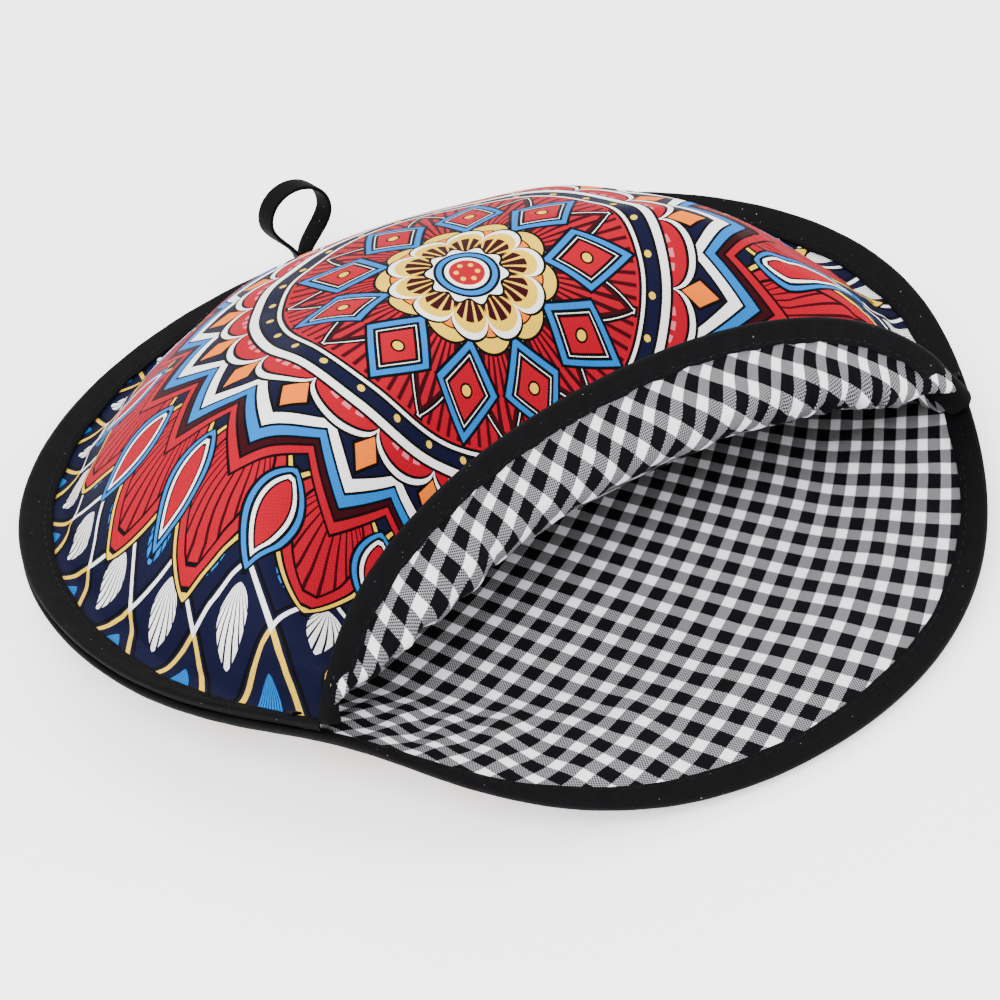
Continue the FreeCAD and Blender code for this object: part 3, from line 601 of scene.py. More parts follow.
def bottom_piece(name, low, high, wave=None, cut=straight_cut):
    """A round layer between two heights over the panel's underside, each a function of the radius."""
    piece, places, _, _ = flat_grid(name, BOTTOM_CELLS, BOTTOM_CELLS)
    x, y = (value * FLANGE_END for value in disc_places(places))
    radius = np.hypot(x, y)
    base = underside(x, y) + (wave(x, y) if wave else 0)
    upper = laid(x, y, base + high(radius))
    lower = laid(x, y, base + low(radius))
    return give_thickness(piece, upper, lower, cut(x, y))


def bottom_top(radius):
    """Upper face of the batting: full in the middle, pressed in the seam."""
    full = 1 - np.clip((radius - BATTING_FULL) / BATTING_FADE, 0, 1)
    return PRESSED - LINING + (PANEL - PRESSED) * full


def lip_folds(x, y):
    """The lining's soft folds: short ones that run into the binding, deeper beside the left corner."""
    radius = np.hypot(x, y)
    angle = np.arctan2(x, -y)
    degrees = np.degrees(angle)
    free = smooth((radius - 96 * MM) / (18 * MM)) * smooth((146 * MM - radius) / (14 * MM))
    left = smooth((-degrees - 5) / 25) * smooth((75 + degrees) / 20)
    right = smooth((degrees - 40) / 25) * smooth((125 - degrees) / 20)
    folds = np.sin(angle * 47 + 2.2 * np.sin(angle * 6))
    slow = np.sin(angle * 19 + 1.3 + radius * 60)
    rise = (0.25 + 0.75 * left + 0.3 * right) * (0.7 * folds + 0.6 * slow + 1.3)
    return free * MM * (rise + 0.1)


bottom_print = bottom_piece("printed_bottom_cloth", lambda r: 0 * r, lambda r: CLOTH + 0 * r)
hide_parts("bottom_shell")
bottom_padding = bottom_piece("bottom_padding", lambda r: CLOTH + padding_gap + 0 * r,
                              lambda r: bottom_top(r) - padding_gap)
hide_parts("bottom_batting")
bottom_lining = bottom_piece("bottom_lining_cloth", bottom_top, lambda r: bottom_top(r) + LINING, lip_folds,
                             askew_cut)
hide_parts("bottom_lining")
for piece in (bottom_print, bottom_padding, bottom_lining):
    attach(piece, "pouch")
print("bottom panel", len(bottom_lining.data.polygons), "faces in each layer")

# %% [markdown]
# ## The bindings
# Bias tape is a strip folded in half over the raw edges and stitched through. A tape is swept here as a
# closed profile, two legs and a round fold, along the edge that it holds. Each place along it has three
# points: the inner edge, the fold and the side that faces up. The free edges of the legs wander a little,
# and the tape swells between stitches, so that the long dark bands don't look machined.

# %% Tape maker
TAPE = 0.9 * MM
TAPE_AIR = 0.12 * MM
FOLD_ROUND = 0.24               # share of the width that the round fold takes
LEG_SHARES = (0.9, 0.78, 0.65, 0.5, FOLD_ROUND)
FOLD_TURNS = (70, 50, 30, 10, -10, -30, -50, -70)
WANDER = 0.25 * MM
SHARP = math.radians(50)        # edges sharper than this stay crisp


def tape_profile(air):
    """Cross-section of a folded tape, round its outside and back along its inside.

    Each point is (share of the width from the fold, height over the middle).
    """
    inn = PRESSED / 2 + air
    out = inn + TAPE
    leg = [(1.0, out - 0.35 * TAPE), (0.985, out - 0.06 * TAPE)] + [(share, out) for share in LEG_SHARES]
    fold = [(FOLD_ROUND * (1 - math.cos(swing)), out * math.sin(swing) / math.sin(math.radians(80)))
            for swing in map(math.radians, FOLD_TURNS)]
    inside = [(0.99, inn), (0.5, inn), (0.2, inn), (0.13, inn * 0.5)]
    outside = leg + fold + [(share, -height) for share, height in reversed(leg)]
    return np.array(outside + [(share, -height) for share, height in inside] + inside[::-1])


def swept_tape(name, inner, fold, up, air, closed, seed):
    """Tape along an edge: inner and fold are its two long edges and up its thickness, row by row."""
    profile = tape_profile(air)
    count = len(inner)
    around = len(profile)
    piece, _, row, column = flat_grid(name, count if closed else count - 1, around)
    across, height = profile[row % around].T
    station = column % count if closed else column
    run = run_along((inner + fold) / 2)
    length = run[-1]
    turns = 2 * np.pi * run / length
    wander = WANDER * (np.sin(17 * turns + seed) + 0.6 * np.sin(41 * turns + 2 * seed))
    swell = 1 + 0.035 * np.sin(29 * turns + seed) + 0.02 * np.sin(83 * turns)
    width = np.linalg.norm(inner - fold, axis=-1)
    share = across * (1 + np.where(across > 0.8, wander[station] / width[station], 0))
    place = fold[station] + (inner - fold)[station] * share[:, None]
    outer_skin = row % around < around - 8
    lift = height * np.where(outer_skin, swell[station], 1)
    place = place + up[station] * lift[:, None]
    cut = np.stack([run[station] + np.where(closed & (column == count), length, 0), row * 1.1 * MM], -1)
    piece.data.vertices.foreach_set("co", place.ravel())
    piece.data.update()
    set_cut(piece, cut)
    close_mesh(piece, weld=True, cap=not closed)
    bpy.ops.object.shade_smooth_by_angle(angle=SHARP)
    return piece


def rim_lines(angles, height):
    """The inner edge, the fold and the upward direction of a tape round the rim."""
    lines = []
    for radius in (BINDING_EDGE, RIM):
        x, y = on_circle(radius, angles).T
        lines.append(laid(x, y, underside(x, y) + height))
    return (*lines, np.tile(UP, (len(angles), 1)))


print("tape cross-section of", len(tape_profile(TAPE_AIR)), "points")

# %% [markdown]
# The bottom panel's tape goes all the way round. The rim's tape lies on it and holds the top panel's sewn
# edge, from one corner of the mouth round the back to the other.

# %% Rim tapes
BOTTOM_TAPE_MIDDLE = 1.0 * MM   # heights of the two tapes over the panel's underside
RIM_TAPE_MIDDLE = 5.22 * MM
RIM_TAPE_AIR = 0.25 * MM
full_turn = np.linspace(-180, 180, 421)[:-1]
bottom_lines = rim_lines(full_turn, BOTTOM_TAPE_MIDDLE)
bottom_tape = swept_tape("bottom_binding_tape", *bottom_lines, TAPE_AIR, True, 0.7)
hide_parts("bottom_binding")
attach(bottom_tape, "pouch")
back_turn = np.linspace(58.6, 301.4, 321)
back_turn = np.where(back_turn > 180, back_turn - 360, back_turn)
rim_tape = swept_tape("rim_binding_tape", *rim_lines(back_turn, RIM_TAPE_MIDDLE), RIM_TAPE_AIR, False, 2.1)
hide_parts("rim_binding")
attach(rim_tape, "pouch")
print("rim tapes", len(bottom_tape.data.polygons) + len(rim_tape.data.polygons), "faces")

# %% [markdown]
# ## The mouth's binding
# The free edge has its own tape, folded a little deeper than the rim's. It runs from corner to corner over
# the arch, widens towards the corners and ends, rounded, on the rim's tape, where bar tacks hold it.

# %% Mouth tape
MOUTH_WIDTH = 7.6 * MM
OVERHANG = 1.0 * MM             # how far the fold stands out past the cloth's edge
CORNER_WIDENS = 2.0 * MM
END_ROUND = 2.2 * MM
READ_STEPS = 400
mouth_share = np.linspace(-1, 1, 301)
mouth_key = column_points(mouth_share)
mouth_length = np.linalg.norm(np.diff(mouth_key, axis=0), axis=-1).sum(0)
mouth_fold = mouth_key[0]
reach_in = np.minimum(BINDING_WIDTH / mouth_length, 0.9)
mouth_rows = through(mouth_key, np.linspace(0, 1, READ_STEPS + 1))
mouth_inner = mouth_rows[np.rint(reach_in * READ_STEPS).astype(int), np.arange(len(mouth_share))]
along = unit(np.gradient(mouth_fold, axis=0))
end_share = smooth((np.abs(mouth_share) - 0.9) / 0.1)[:, None]
toward = unit(mouth_inner - mouth_fold) * (1 - end_share) + unit(-mouth_fold * (1, 1, 0)) * end_share
toward = unit(toward - along * (toward * along).sum(-1, keepdims=True))
mouth_up = np.cross(toward, along)
mouth_up = mouth_up * np.sign(mouth_up[:, 2:] + mouth_up[:, 1:2])
mouth_mid = mouth_fold - mouth_up * (PRESSED / 2 - CLIMB * end_share)
widens = CORNER_WIDENS * smooth((np.abs(mouth_share) - 0.83) / 0.09)[:, None]
near_end = np.clip((np.abs(mouth_share) - 0.975) / 0.025, 0, 1)[:, None]
drawn_in = END_ROUND * (1 - np.sqrt(1 - 0.96 * near_end ** 2))
tape_in = mouth_mid + toward * (MOUTH_WIDTH - OVERHANG + widens - drawn_in)
tape_out = mouth_mid - toward * (OVERHANG - drawn_in)
mouth_tape = swept_tape("mouth_binding_tape", tape_in, tape_out, mouth_up, TAPE_AIR, False, 4.4)
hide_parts("mouth_binding")
print("mouth tape", len(mouth_tape.data.polygons), "faces")

# %% [markdown]
# ## The hanging loop
# A short length of the same tape, folded to a narrow strip, goes up from the back of the rim, round and down
# again. It is sewn with its two ends spread, so the strip twists a little as it rises.

# %% Hanging loop
LOOP_ANGLE = 173.0              # degrees round the rim
LOOP_REACH = 156.3 * MM
LOOP_ROUND = 11.3 * MM
LOOP_WIDTH = 7.0 * MM
LOOP_THICK = 1.4 * MM
LOOP_SPREAD = 0.9 * MM          # half the space between the two ends
LOOP_TWIST = 16                 # degrees
LOOP_AROUND = 20
SQUARE = 0.28                   # the lower, the squarer the strip's cross-section

loop_low, loop_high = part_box("hanging_loop")
loop_out = Vector((*on_circle(1.0, LOOP_ANGLE), 0))
loop_side = Vector((0, 0, 1)).cross(loop_out)
loop_foot = Vector((*on_circle(LOOP_REACH, LOOP_ANGLE), loop_low.z))
top_of_loop = loop_high.z - loop_low.z - LOOP_ROUND - LOOP_THICK / 2
loop_path = []
for share in np.linspace(0, 1, 12, endpoint=False):
    spread = LOOP_SPREAD + (LOOP_ROUND - LOOP_SPREAD) * smooth(share * 1.02)
    loop_path.append((spread, top_of_loop * share))
for turn in np.linspace(0, 180, 25):
    swing = math.radians(turn)
    loop_path.append((LOOP_ROUND * math.cos(swing), top_of_loop + LOOP_ROUND * math.sin(swing)))
loop_path += [(-x, z) for x, z in loop_path[11::-1]]
loop_path = np.array(loop_path)
loop_run = run_along(loop_path)

loop_piece, places, _, station = flat_grid("hanging_loop_tape", len(loop_path) - 1, LOOP_AROUND)
swing = (places[:, 1] + 1) * np.pi
across, deep = (np.sign(wave) * np.abs(wave) ** SQUARE * size / 2
                for wave, size in ((np.cos(swing), LOOP_WIDTH), (np.sin(swing), LOOP_THICK)))
tangent = unit(np.gradient(loop_path, axis=0))
side_way = np.stack([tangent[:, 1], -tangent[:, 0]], -1)
twist = np.radians(LOOP_TWIST) * np.sin(np.pi * loop_run / loop_run[-1] * 2)[station]
flat_part = across * np.sin(twist) + deep * np.cos(twist)
wide_part = across * np.cos(twist) - deep * np.sin(twist)
plan = loop_path[station] + side_way[station] * flat_part[:, None]
loop_places = (np.array(loop_foot) + plan[:, :1] * np.array(loop_side) + plan[:, 1:] * UP
               + wide_part[:, None] * np.array(loop_out))
loop_piece.data.vertices.foreach_set("co", loop_places.ravel())
set_cut(loop_piece, np.stack([loop_run[station], across], -1))
close_mesh(loop_piece, weld=True, cap=True)
bpy.ops.object.shade_smooth_by_angle(angle=SHARP)
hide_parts("hanging_loop")
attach(loop_piece, "hanging_loop")
print("loop tape", round(loop_run[-1] * 1000, 1), "mm long")

# %% [markdown]
# ## Stitches
# One stitch is modelled as a short rounded thread and copied along each tape, every 4 mm. The rows on the
# lip, the rim and the mouth are the ones that can be seen from outside.

# %% Stitches
STITCH = (1.3 * MM, 0.25 * MM, 0.19 * MM)
STITCH_STEP = 4.0 * MM
STITCH_INSET = 7.4 * MM         # from the fold of the rim's tapes
MOUTH_INSET = 2.6 * MM          # from the free edge of the mouth's tape
PROUD = 0.02 * MM               # the threads lie on the tape, not in it


def first_stitch():
    """One rounded thread, at the origin and along X."""
    pick_only()
    bpy.ops.mesh.primitive_uv_sphere_add(segments=8, ring_count=5, radius=1)
    stitch = bpy.context.active_object
    stitch.rotation_euler = (0, math.pi / 2, 0)
    bpy.ops.object.transform_apply(location=False, rotation=True, scale=False)
    stitch.scale = STITCH
    bpy.ops.object.transform_apply(location=False, rotation=False, scale=True)
    return stitch


def stitch_row(name, line, up, margin):
    """Stitches along a line of points, lying on the surface whose upward directions are given."""
    run = run_along(line)
    sewn = run[-1] - 2 * margin
    count = int(sewn / STITCH_STEP)
    stitches = [first_stitch()]
    shape = stitches[0].data.copy()

    def read(values, at):
        return Vector([np.interp(at, run, values[:, axis]) for axis in range(3)])

    for i in range(count):
        if i:
            stitches.append(bpy.data.objects.new(name, shape.copy()))
            bpy.context.scene.collection.objects.link(stitches[-1])
        at = margin + sewn * (i + 0.5) / count
        place, normal = read(line, at), read(up, at).normalized()
        ahead = read(line, at + 1 * MM) - place
        ahead = (ahead - normal * ahead.dot(normal)).normalized()
        turn = Matrix((ahead, normal.cross(ahead), normal)).transposed().to_4x4()
        stitches[-1].data.transform(Matrix.Translation(place) @ turn)
    pick_only(*stitches)
    bpy.ops.object.join()
    piece = bpy.context.active_object
    piece.name = name
    piece.data.name = name
    for layer in list(piece.data.uv_layers):
        piece.data.uv_layers.remove(layer)
    bpy.ops.object.shade_smooth()
    return piece


tape_top = PRESSED / 2 + TAPE_AIR + TAPE
inset = 1 - STITCH_INSET / BINDING_WIDTH
lip_turn = np.linspace(-53, 53, 121)
inner, fold, up = rim_lines(lip_turn, BOTTOM_TAPE_MIDDLE + tape_top + PROUD)
bottom_stitches = stitch_row("bottom_binding_stitches", inner + (fold - inner) * inset, up, 3 * MM)
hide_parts("bottom_binding_stitching")
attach(bottom_stitches, "pouch")
inner, fold, up = rim_lines(back_turn, RIM_TAPE_MIDDLE + PRESSED / 2 + RIM_TAPE_AIR + TAPE + PROUD)
rim_stitches = stitch_row("rim_binding_stitches", inner + (fold - inner) * inset, up, 10 * MM)
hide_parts("rim_binding_stitching")
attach(rim_stitches, "pouch")
mouth_line = mouth_mid - mouth_up * (tape_top + PROUD) + toward * (MOUTH_WIDTH - MOUTH_INSET)
mouth_stitches = stitch_row("mouth_binding_stitches", mouth_line, -mouth_up, 14 * MM)
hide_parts("mouth_binding_stitching")
STITCH_FACES = 40
all_rows = (bottom_stitches, rim_stitches, mouth_stitches)
print("stitches", [len(row.data.polygons) // STITCH_FACES for row in all_rows])

# %% [markdown]
# ## The soft pieces
# The three layers of the top panel, the mouth's tape and its stitches are left without a body; their places
# in the world are written into their meshes.

# %% Soft pieces
for piece in (printed_top, top_padding, top_lining, mouth_tape, mouth_stitches):
    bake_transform(piece)

# %% [markdown]
# ## Writing a shader as sums
# The print and the weave are patterns made of lengths and angles. A small class lets the shader's numbers be
# added and multiplied like ordinary ones; each operation adds one math node.

# %% Shader helpers
def linear(hex_colour):
    """A colour written as on a screen, turned into the linear light that the shader works in."""
    parts = [int(hex_colour[i:i + 2], 16) / 255 for i in (1, 3, 5)]
    return tuple(c / 12.92 if c <= 0.04045 else ((c + 0.055) / 1.055) ** 2.4 for c in parts) + (1.0,)


def add(tree, kind, inputs=(), **settings):
    """Adds a node with its settings; an input is a number or colour, or another node's output."""
    node = tree.nodes.new(kind)
    for setting, value in settings.items():
        setattr(node, setting, value)
    for name, value in dict(inputs).items():
        if isinstance(value, Num):
            value = value.socket
        if isinstance(value, bpy.types.NodeSocket):
            tree.links.new(value, node.inputs[name])
        else:
            node.inputs[name].default_value = value
    return node


def maths(operation):
    """A method that adds one math node."""
    return lambda self, *others: self.with_(operation, *others)


class Num:
    """A number in a shader."""

    def __init__(self, tree, socket):
        self.tree = tree
        self.socket = socket

    def with_(self, operation, *others, clamp=False):
        values = dict(enumerate((self, *others)))
        node = add(self.tree, "ShaderNodeMath", values, operation=operation, use_clamp=clamp)
        return Num(self.tree, node.outputs[0])

    __add__ = maths("ADD")
    __sub__ = maths("SUBTRACT")
    __mul__ = maths("MULTIPLY")
    __truediv__ = maths("DIVIDE")
    wave, size, part = maths("SINE"), maths("ABSOLUTE"), maths("FRACT")
    low, high, power = maths("MINIMUM"), maths("MAXIMUM"), maths("POWER")

    def less_from(self, value):
        """value - self"""
        return self * -1.0 + value

    def clip(self):
        return self.with_("ADD", 0.0, clamp=True)

    def inside(self, soft=0.12):
        """1 where the number is above 0, with an edge as soft as the threads make it."""
        return self.with_("MULTIPLY_ADD", 1 / soft, 0.5, clamp=True)


def over(tree, below, colour, mask):
    """A colour laid over another where the mask is 1."""
    inputs = {0: mask, 6: below, 7: colour}
    return add(tree, "ShaderNodeMix", inputs, data_type="RGBA", clamp_factor=True).outputs[2]


def new_material(name):
    """A material with nothing but its surface shader, and its flat cut's two lengths in mm."""
    material = bpy.data.materials.new(name)
    material.use_nodes = True
    tree = material.node_tree
    tree.nodes.clear()
    shader = add(tree, "ShaderNodeBsdfPrincipled")
    output = add(tree, "ShaderNodeOutputMaterial")
    tree.links.new(shader.outputs[0], output.inputs[0])
    cut = add(tree, "ShaderNodeUVMap", uv_map="flat_cut")
    apart = add(tree, "ShaderNodeSeparateXYZ", {0: cut.outputs[0]})
    x, y = (Num(tree, apart.outputs[i]) * 1000.0 for i in (0, 1))
    return material, tree, shader, x, y


def noise(tree, x, y, size, detail=2.0, at=0.0):
    """Smooth random values round 0.5 over a surface, with features of a size in mm."""
    place = add(tree, "ShaderNodeCombineXYZ", {0: x / size, 1: y / size, 2: at})
    found = add(tree, "ShaderNodeTexNoise", {"Vector": place.outputs[0], "Scale": 1.0, "Detail": detail})
    return Num(tree, found.outputs[0])


def dress(tree, shader, colour, roughness, specular, height, depth, strength):
    """Gives a surface its colour, its gloss and a relief of a height, 0 to 1, over a depth in metres."""
    bump = add(tree, "ShaderNodeBump", {"Height": height, "Distance": depth, "Strength": strength})
    tree.links.new(colour, shader.inputs["Base Color"])
    tree.links.new(bump.outputs[0], shader.inputs["Normal"])
    shader.inputs["Roughness"].default_value = roughness
    shader.inputs["Specular IOR Level"].default_value = specular


# %% [markdown]
# ## Gingham
# Gingham is woven from dyed and white threads in equal stripes both ways. Where two dark stripes cross the
# square is black, where two white ones cross it is white, and where a dark one crosses a white one the
# threads alternate, which the eye sees as grey. The shader weaves it just so: each place takes the colour of
# the thread that is on top there. Real threads are about 0.25 mm apart; here they are 0.5 mm, so that the
# speckle of the grey squares still shows. It is brushed cotton: no gloss, a little light caught by the fuzz.

# %% Gingham
CHECKS = (4.5, 5.25)            # the stripes are a little closer one way than the other
LIGHT_SHARE = 0.43
THREAD = 0.5
SHADED = 0.74                   # in a grey square the white threads lie in the dark ones' shade


def gingham(name, turn):
    """Black and white gingham whose threads run at an angle to the cut, in degrees."""
    material, tree, shader, x, y = new_material(name)
    c, s = math.cos(math.radians(turn)), math.sin(math.radians(turn))
    drift = (noise(tree, x, y, 22.0) - 0.5) * 0.9
    warp = x * c + y * s + drift
    weft = y * c - x * s + drift
    edge = (noise(tree, x, y, 0.5, 1.0) - 0.5) * 0.5
    dark_warp, dark_weft = (
        ((((way + edge) / (2 * check)).part() - 0.5).size() - LIGHT_SHARE / 2).inside(0.03)
        for way, check in zip((warp, weft), CHECKS))
    warp_wave, weft_wave = ((way * (math.pi / THREAD)).wave() for way in (warp, weft))
    on_top = (warp_wave * weft_wave).inside(0.5)
    dark = dark_weft + (dark_warp - dark_weft) * on_top
    mixed = (dark_warp - dark_weft).size()
    dark = (dark + mixed * 0.2).high(mixed * SHADED).clip()
    grain = noise(tree, x, y, 0.35, 3.0)
    white = over(tree, linear("#FCFBFF"), linear("#EAE8F0"), grain)
    black = over(tree, linear("#030304"), linear("#0E0E10"), grain)
    height = warp_wave.size() * weft_wave.size() + grain * 0.4
    dress(tree, shader, over(tree, white, black, dark), 0.88, 0.05, height, 0.18 * MM, 0.6)
    return material


LININGS = (
    # piece, its cloth, turn of the threads in degrees
    (top_lining, "gingham_cotton_top", 45),
    (bottom_lining, "gingham_cotton_bottom", -51),
)
for lining, name, turn in LININGS:
    lining.data.materials.append(gingham(name, turn))
    print(name, "woven at", turn, "degrees to its cut")

# %% [markdown]
# ## The print
# The outer cloth is printed with a large round medallion on navy, in red, sky blue, yellow, orange and white
# with dark outlines. The one drawn here is a plain folk rosette of its own: rings of petals, beads, arches,
# waves and leaves. Every ring is a number of equal sectors; a shape is a distance from its own edge, so its
# outline and its inner lines are the same distance moved in or out. The cloth is light polyester in plain
# weave: its threads are 0.3 mm apart and drawn 0.6 mm apart, so that they show.

# %% Print helpers
NAVY, INK, WHITE = linear("#090B26"), linear("#020203"), linear("#F2F0EE")
RED, WINE, PINK = linear("#9A001C"), linear("#2C0209"), linear("#C86072")
SKY, YELLOW, ORANGE = linear("#0068B4"), linear("#DCB42C"), linear("#E06C08")


class Ring:
    """The places of one ring of a round print: its radius, and the way from a sector's middle line."""

    def __init__(self, radius, turn, count, phase):
        self.radius = radius
        self.share = (turn * float(count) + (phase + 0.5)).part() - 0.5
        self.arc = self.share * (radius * (2 * math.pi / count))

    def petal(self, start, end, half, fullness=1.0, belly=1.0):
        """How far inside a petal: pointed at both ends, widest where belly puts it."""
        along = ((self.radius - start) / (end - start)).clip()
        wide = (along.power(belly) * math.pi).wave().high(0.0).power(fullness) * half
        ends = (self.radius - start).low(self.radius.less_from(end))
        return (wide - self.arc.size()).low(ends)

    def diamond(self, start, end, half):
        """How far inside a diamond."""
        along = (self.radius - (start + end) / 2).size() * (2 / (end - start))
        return (along.less_from(1.0) * half - self.arc.size()) * 0.8

    def bead(self, middle, size):
        """How far inside a round dot."""
        away = ((self.radius - middle).power(2.0) + self.arc * self.arc).power(0.5)
        return away.less_from(size)

    def arch(self, base, height):
        """How far inside an edge of round arches that stand on a circle."""
        rise = self.share * 2.0
        return (rise * rise).less_from(1.0).high(0.0).power(0.5) * height + base - self.radius

    def tent(self, base, height):
        """How far inside an edge of pointed tents that stand on a circle."""
        return (self.share.size() * 2.0).less_from(1.0) * height + base - self.radius

    def swell(self, base, height):
        """How far inside a wavy edge."""
        wave = (self.share * (2 * math.pi)).with_("COSINE")
        return wave * (height / 2) + (base + height / 2) - self.radius

    def rays(self, count):
        """Stripes that fan out inside a sector."""
        return ((self.share * float(count)).part() - 0.5).size() - 0.34


# %% [markdown]
# The medallion is painted from the rim inwards, so that each ring lies over the one outside it. Its middle
# lies a little off the cloth's own.

# %% Print
LINE = 1.0                     # mm, as all sizes of the print
PRINT_CENTRE = (6.0, -5.0)
PRINT_SCALE = 1.07
PRINT_THREAD = 0.6


def medallion(name):
    """Navy cloth with a round rosette printed on it."""
    material, tree, shader, x, y = new_material(name)
    right = (x - PRINT_CENTRE[0]) * (1 / PRINT_SCALE)
    ahead = (y - PRINT_CENTRE[1]) * (1 / PRINT_SCALE)
    radius = (right * right + ahead * ahead).power(0.5)
    turn = right.with_("ARCTAN2", ahead) * (1 / (2 * math.pi))

    def ring(count, phase=0.0):
        return Ring(radius, turn, count, phase)

    within = radius.less_from
    colour = NAVY

    def paint(fill, shape, outline=None, thick=LINE):
        nonlocal colour
        if outline is not None:
            colour = over(tree, colour, outline, (shape + thick).inside())
        colour = over(tree, colour, fill, shape.inside())

    def fan(here, shape, base, count, share):
        """Rays that open from a point on a ring, inside a shape."""
        up = (radius - base).high(0.5)
        lean = (here.arc / up) * float(count)
        return shape.low((((lean + 0.5).part() - 0.5).size() - share).less_from(0.0) * (up * (1 / count)))

    # Rim: three rows of pointed scales, each with a white or blue shell in it.
    rows = ((0.5, 148.0, WHITE, SKY), (0.0, 136.0, YELLOW, WHITE), (0.5, 124.0, WHITE, SKY))
    for phase, base, edge, shell in rows:
        here = ring(30, phase)
        scale = here.tent(base, 12.0)
        paint(NAVY, scale + 0.2, edge, 1.5)
        paint(INK, scale - 0.6)
        paint(NAVY, scale - 1.5)
        heart = here.petal(base - 6.5, base + 5.0, 5.2, 0.7)
        paint(shell, fan(here, heart, base - 7.5, 4.0, 0.36))
    # Leaves: red shells with a yellow edge, and blue buds between them.
    leaves = ring(20, 0.5)
    leaf = leaves.petal(92.0, 133.0, 17.5, 0.75, 0.8)
    paint(YELLOW, leaf, INK)
    paint(RED, leaf - 2.4, INK)
    heart = leaf - 6.4
    paint(INK, heart + 0.9)
    paint(WINE, heart)
    paint(RED, fan(leaves, heart, 92.0, 7.0, 0.38))
    bud = ring(20).petal(100.0, 127.0, 8.2, 0.9, 0.9)
    paint(SKY, bud, INK)
    paint(WHITE, bud - 2.6, INK)
    paint(RED, bud - 4.4, INK, 0.6)
    # Zigzags: red, blue and white edges on a navy band with orange gems.
    edges = ((RED, 94.0, 15.0), (WINE, 90.5, 14.0), (SKY, 88.0, 13.0), (WHITE, 84.0, 12.0),
             (NAVY, 79.5, 11.0))
    for fill, base, height in edges:
        paint(fill, leaves.tent(base, height), INK)
    paint(ORANGE, leaves.diamond(76.0, 88.5, 4.2), INK)
    # Arches with fanned lines.
    arches = ring(20)
    paint(WHITE, arches.arch(73.0, 8.6), INK)
    paint(RED, arches.arch(70.6, 8.0), INK)
    paint(PINK, fan(arches, arches.arch(68.0, 6.6), 60.0, 3.0, 0.30))
    # A bold white ring, then a navy one with beads.
    paint(WHITE, within(72.0), INK)
    paint(INK, within(69.2))
    paint(NAVY, within(68.2))
    paint(YELLOW, ring(30).bead(65.6, 1.2))
    paint(WHITE, within(63.2), INK)
    # Red field with wine rays.
    field = ring(10, 0.5)
    paint(RED, within(61.0), INK)
    paint(WINE, within(60.0).low(field.rays(9)), None)
    # Broad diamonds: blue, white, red, nested; slim wine blades between them.
    blade = field.petal(22.0, 59.0, 8.0, 0.9, 0.9)
    paint(WHITE, blade + 0.8, INK)
    paint(WINE, blade - 0.6, INK)
    paint(RED, fan(field, blade - 2.0, 16.0, 9.0, 0.30), None)
    broad = ring(10, 0.0)
    gem = broad.diamond(27.0, 60.0, 12.0)
    paint(SKY, gem, INK)
    paint(WHITE, gem - 2.9, INK)
    paint(RED, gem - 4.2, INK)
    paint(YELLOW, broad.bead(43.5, 1.7), INK, 0.7)
    # Flower of round-tipped petals, one row behind the other.
    paint(YELLOW, field.arch(22.5, 8.0), INK)
    paint(ORANGE, field.arch(19.0, 6.4), INK, 0.6)
    paint(WHITE, broad.arch(19.4, 7.6), INK)
    paint(YELLOW, broad.arch(17.8, 7.0), None)
    paint(WINE, fan(broad, broad.arch(15.6, 5.6), 8.0, 3.0, 0.36), None)
    # Heart: a wavy white edge, a blue ring and a red disc with beads.
    paint(WHITE, ring(10, 0.5).swell(11.4, 2.4), INK)
    paint(SKY, within(10.2), INK)
    paint(WHITE, within(7.4), INK)
    paint(RED, within(6.0), None)
    paint(YELLOW, ring(6).bead(3.6, 0.9), None)

    weave = (x * (math.pi / PRINT_THREAD)).wave() * (y * (math.pi / PRINT_THREAD)).wave()
    grain = noise(tree, x, y, 0.4, 3.0)
    brightness = weave * 0.10 + grain * 0.30 + 0.80
    shade = add(tree, "ShaderNodeCombineColor", {i: brightness for i in range(3)})
    inputs = {0: 1.0, 6: colour, 7: shade.outputs[0]}
    worn = add(tree, "ShaderNodeMix", inputs, data_type="RGBA", blend_type="MULTIPLY").outputs[2]
    dress(tree, shader, worn, 0.68, 0.06, weave * 0.5 + grain * 0.5, 0.15 * MM, 0.5)
    return material


printed_cloth = medallion("printed_polyester")
for piece in (printed_top, bottom_print):
    piece.data.materials.append(printed_cloth)
print("print of", len(printed_cloth.node_tree.nodes), "shader nodes")

# %% [markdown]
# ## Tape, thread and batting
# The tape is black polyester cotton on the bias: matt, with a fine slanted rib and a few specks of pale lint.
# The thread is as dark, with a fine twist. Batting is off-white, dull and fluffy.

# %% Tape, thread, batting
RIB = 0.55                      # mm between the tape's ribs
TWIST = 0.5                     # mm for one turn of the thread


def black_tape(name):
    """Matt black bias tape."""
    material, tree, shader, x, y = new_material(name)
    rib = ((x + y) * (math.pi / RIB)).wave() * ((x - y) * (math.pi / RIB)).wave()
    cloud = noise(tree, x, y, 6.0, 3.0)
    grain = noise(tree, x, y, 0.4, 2.0)
    base = over(tree, linear("#040405"), linear("#0A0A0C"), cloud)
    lint = (noise(tree, x, y, 0.9, 1.0, 7.0) - 0.79).inside(0.03)
    colour = over(tree, base, linear("#8E8C8C"), lint)
    dress(tree, shader, colour, 0.72, 0.05, rib * 0.35 + grain * 0.5 + cloud * 0.8, 0.20 * MM, 0.6)
    return material


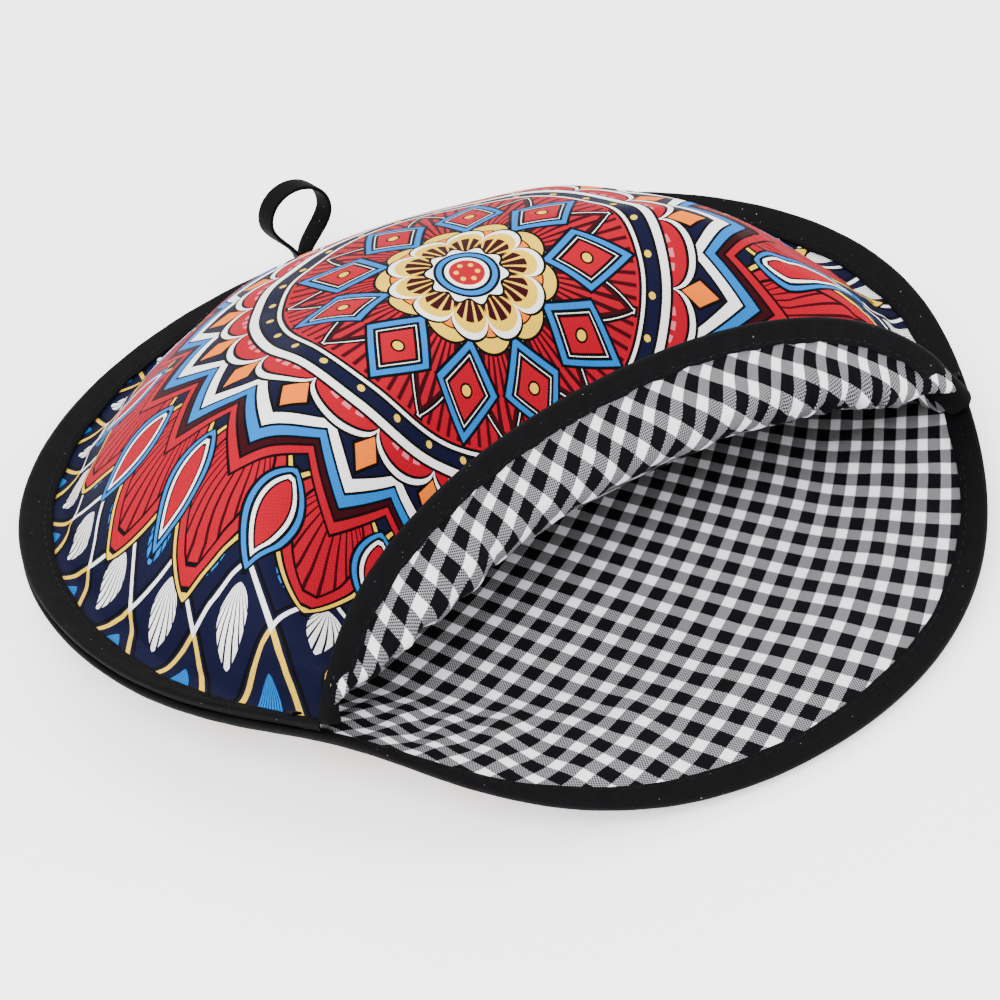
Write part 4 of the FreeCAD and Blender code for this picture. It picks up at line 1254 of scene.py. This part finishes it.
def thread_material(name):
    """Black sewing thread: a fine slanted twist, drawn by its place, as it has no flat cut."""
    material, tree, shader, _, _ = new_material(name)
    where = add(tree, "ShaderNodeTexCoord")
    apart = add(tree, "ShaderNodeSeparateXYZ", {0: where.outputs["Object"]})
    x, y, z = (Num(tree, apart.outputs[i]) * 1000.0 for i in range(3))
    twist = ((x + y * 0.7 + z) * (2 * math.pi / TWIST)).wave() * 0.5 + 0.5
    colour = over(tree, linear("#030304"), linear("#0C0C0E"), twist)
    dress(tree, shader, colour, 0.6, 0.1, twist, 0.1 * MM, 0.6)
    return material


def batting_material(name):
    """Off-white needled batting."""
    material, tree, shader, x, y = new_material(name)
    fluff = noise(tree, x, y, 3.0, 5.0)
    colour = over(tree, linear("#DAD7CE"), linear("#F0EEE8"), fluff)
    dress(tree, shader, colour, 0.95, 0.5, fluff, 0.6 * MM, 0.8)
    return material


tacks = [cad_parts[name] for name in ("left_corner_tack", "right_corner_tack")]
for tack in tacks:
    tack.data.materials.clear()
for material, pieces in (
        (black_tape("black_bias_tape"), (bottom_tape, rim_tape, mouth_tape, loop_piece)),
        (thread_material("black_thread"), (*all_rows, *tacks)),
        (batting_material("needled_batting"), (top_padding, bottom_padding))):
    for piece in pieces:
        piece.data.materials.append(material)
    print(material.name, "on", len(pieces), "pieces")

# %% [markdown]
# ## Floor and light
# A plain pale floor, lit from behind as well so that it stays nearly white, and three large soft lights, with
# pale light from all round.

# %% Floor and light
FLOOR_SIZE = 6.0
FLOOR_DROP = 0.0003             # the floor lies just under the pouch
FLOOR_GLOW = 0.9
ROOM_LIGHT = 1.5
AIM = Vector((0, 0, 0.03))

pick_only()
bpy.ops.mesh.primitive_plane_add(size=FLOOR_SIZE, location=(0, 0, -FLOOR_DROP))
floor = bpy.context.active_object
floor.name = "floor"
floor_material = bpy.data.materials.new("pale_floor")
floor_material.use_nodes = True
floor_shader = floor_material.node_tree.nodes["Principled BSDF"]
floor_shader.inputs["Base Color"].default_value = linear("#FFFFFF")
floor_shader.inputs["Roughness"].default_value = 0.9
floor_shader.inputs["Emission Color"].default_value = linear("#FFFFFF")
floor_shader.inputs["Emission Strength"].default_value = FLOOR_GLOW
floor.data.materials.append(floor_material)

LIGHTS = (
    # name, place, size, power
    ("key", (-0.9, -0.7, 1.5), 1.2, 46.0),
    ("fill", (1.2, -0.9, 1.1), 1.4, 22.0),
    ("back", (0.2, 1.3, 1.4), 1.4, 30.0),
)
for name, place, size, power in LIGHTS:
    light_data = bpy.data.lights.new(name, "AREA")
    light_data.shape = "DISK"
    light_data.size = size
    light_data.energy = power
    light = bpy.data.objects.new(name, light_data)
    bpy.context.scene.collection.objects.link(light)
    light.location = place
    light.rotation_euler = (AIM - Vector(place)).to_track_quat("-Z", "Y").to_euler()
world = bpy.data.worlds.new("pale_room")
bpy.context.scene.world = world
world.use_nodes = True
background = world.node_tree.nodes["Background"]
background.inputs[0].default_value = linear("#FFFFFF")
background.inputs[1].default_value = ROOM_LIGHT
print("lights", [name for name, *_ in LIGHTS])
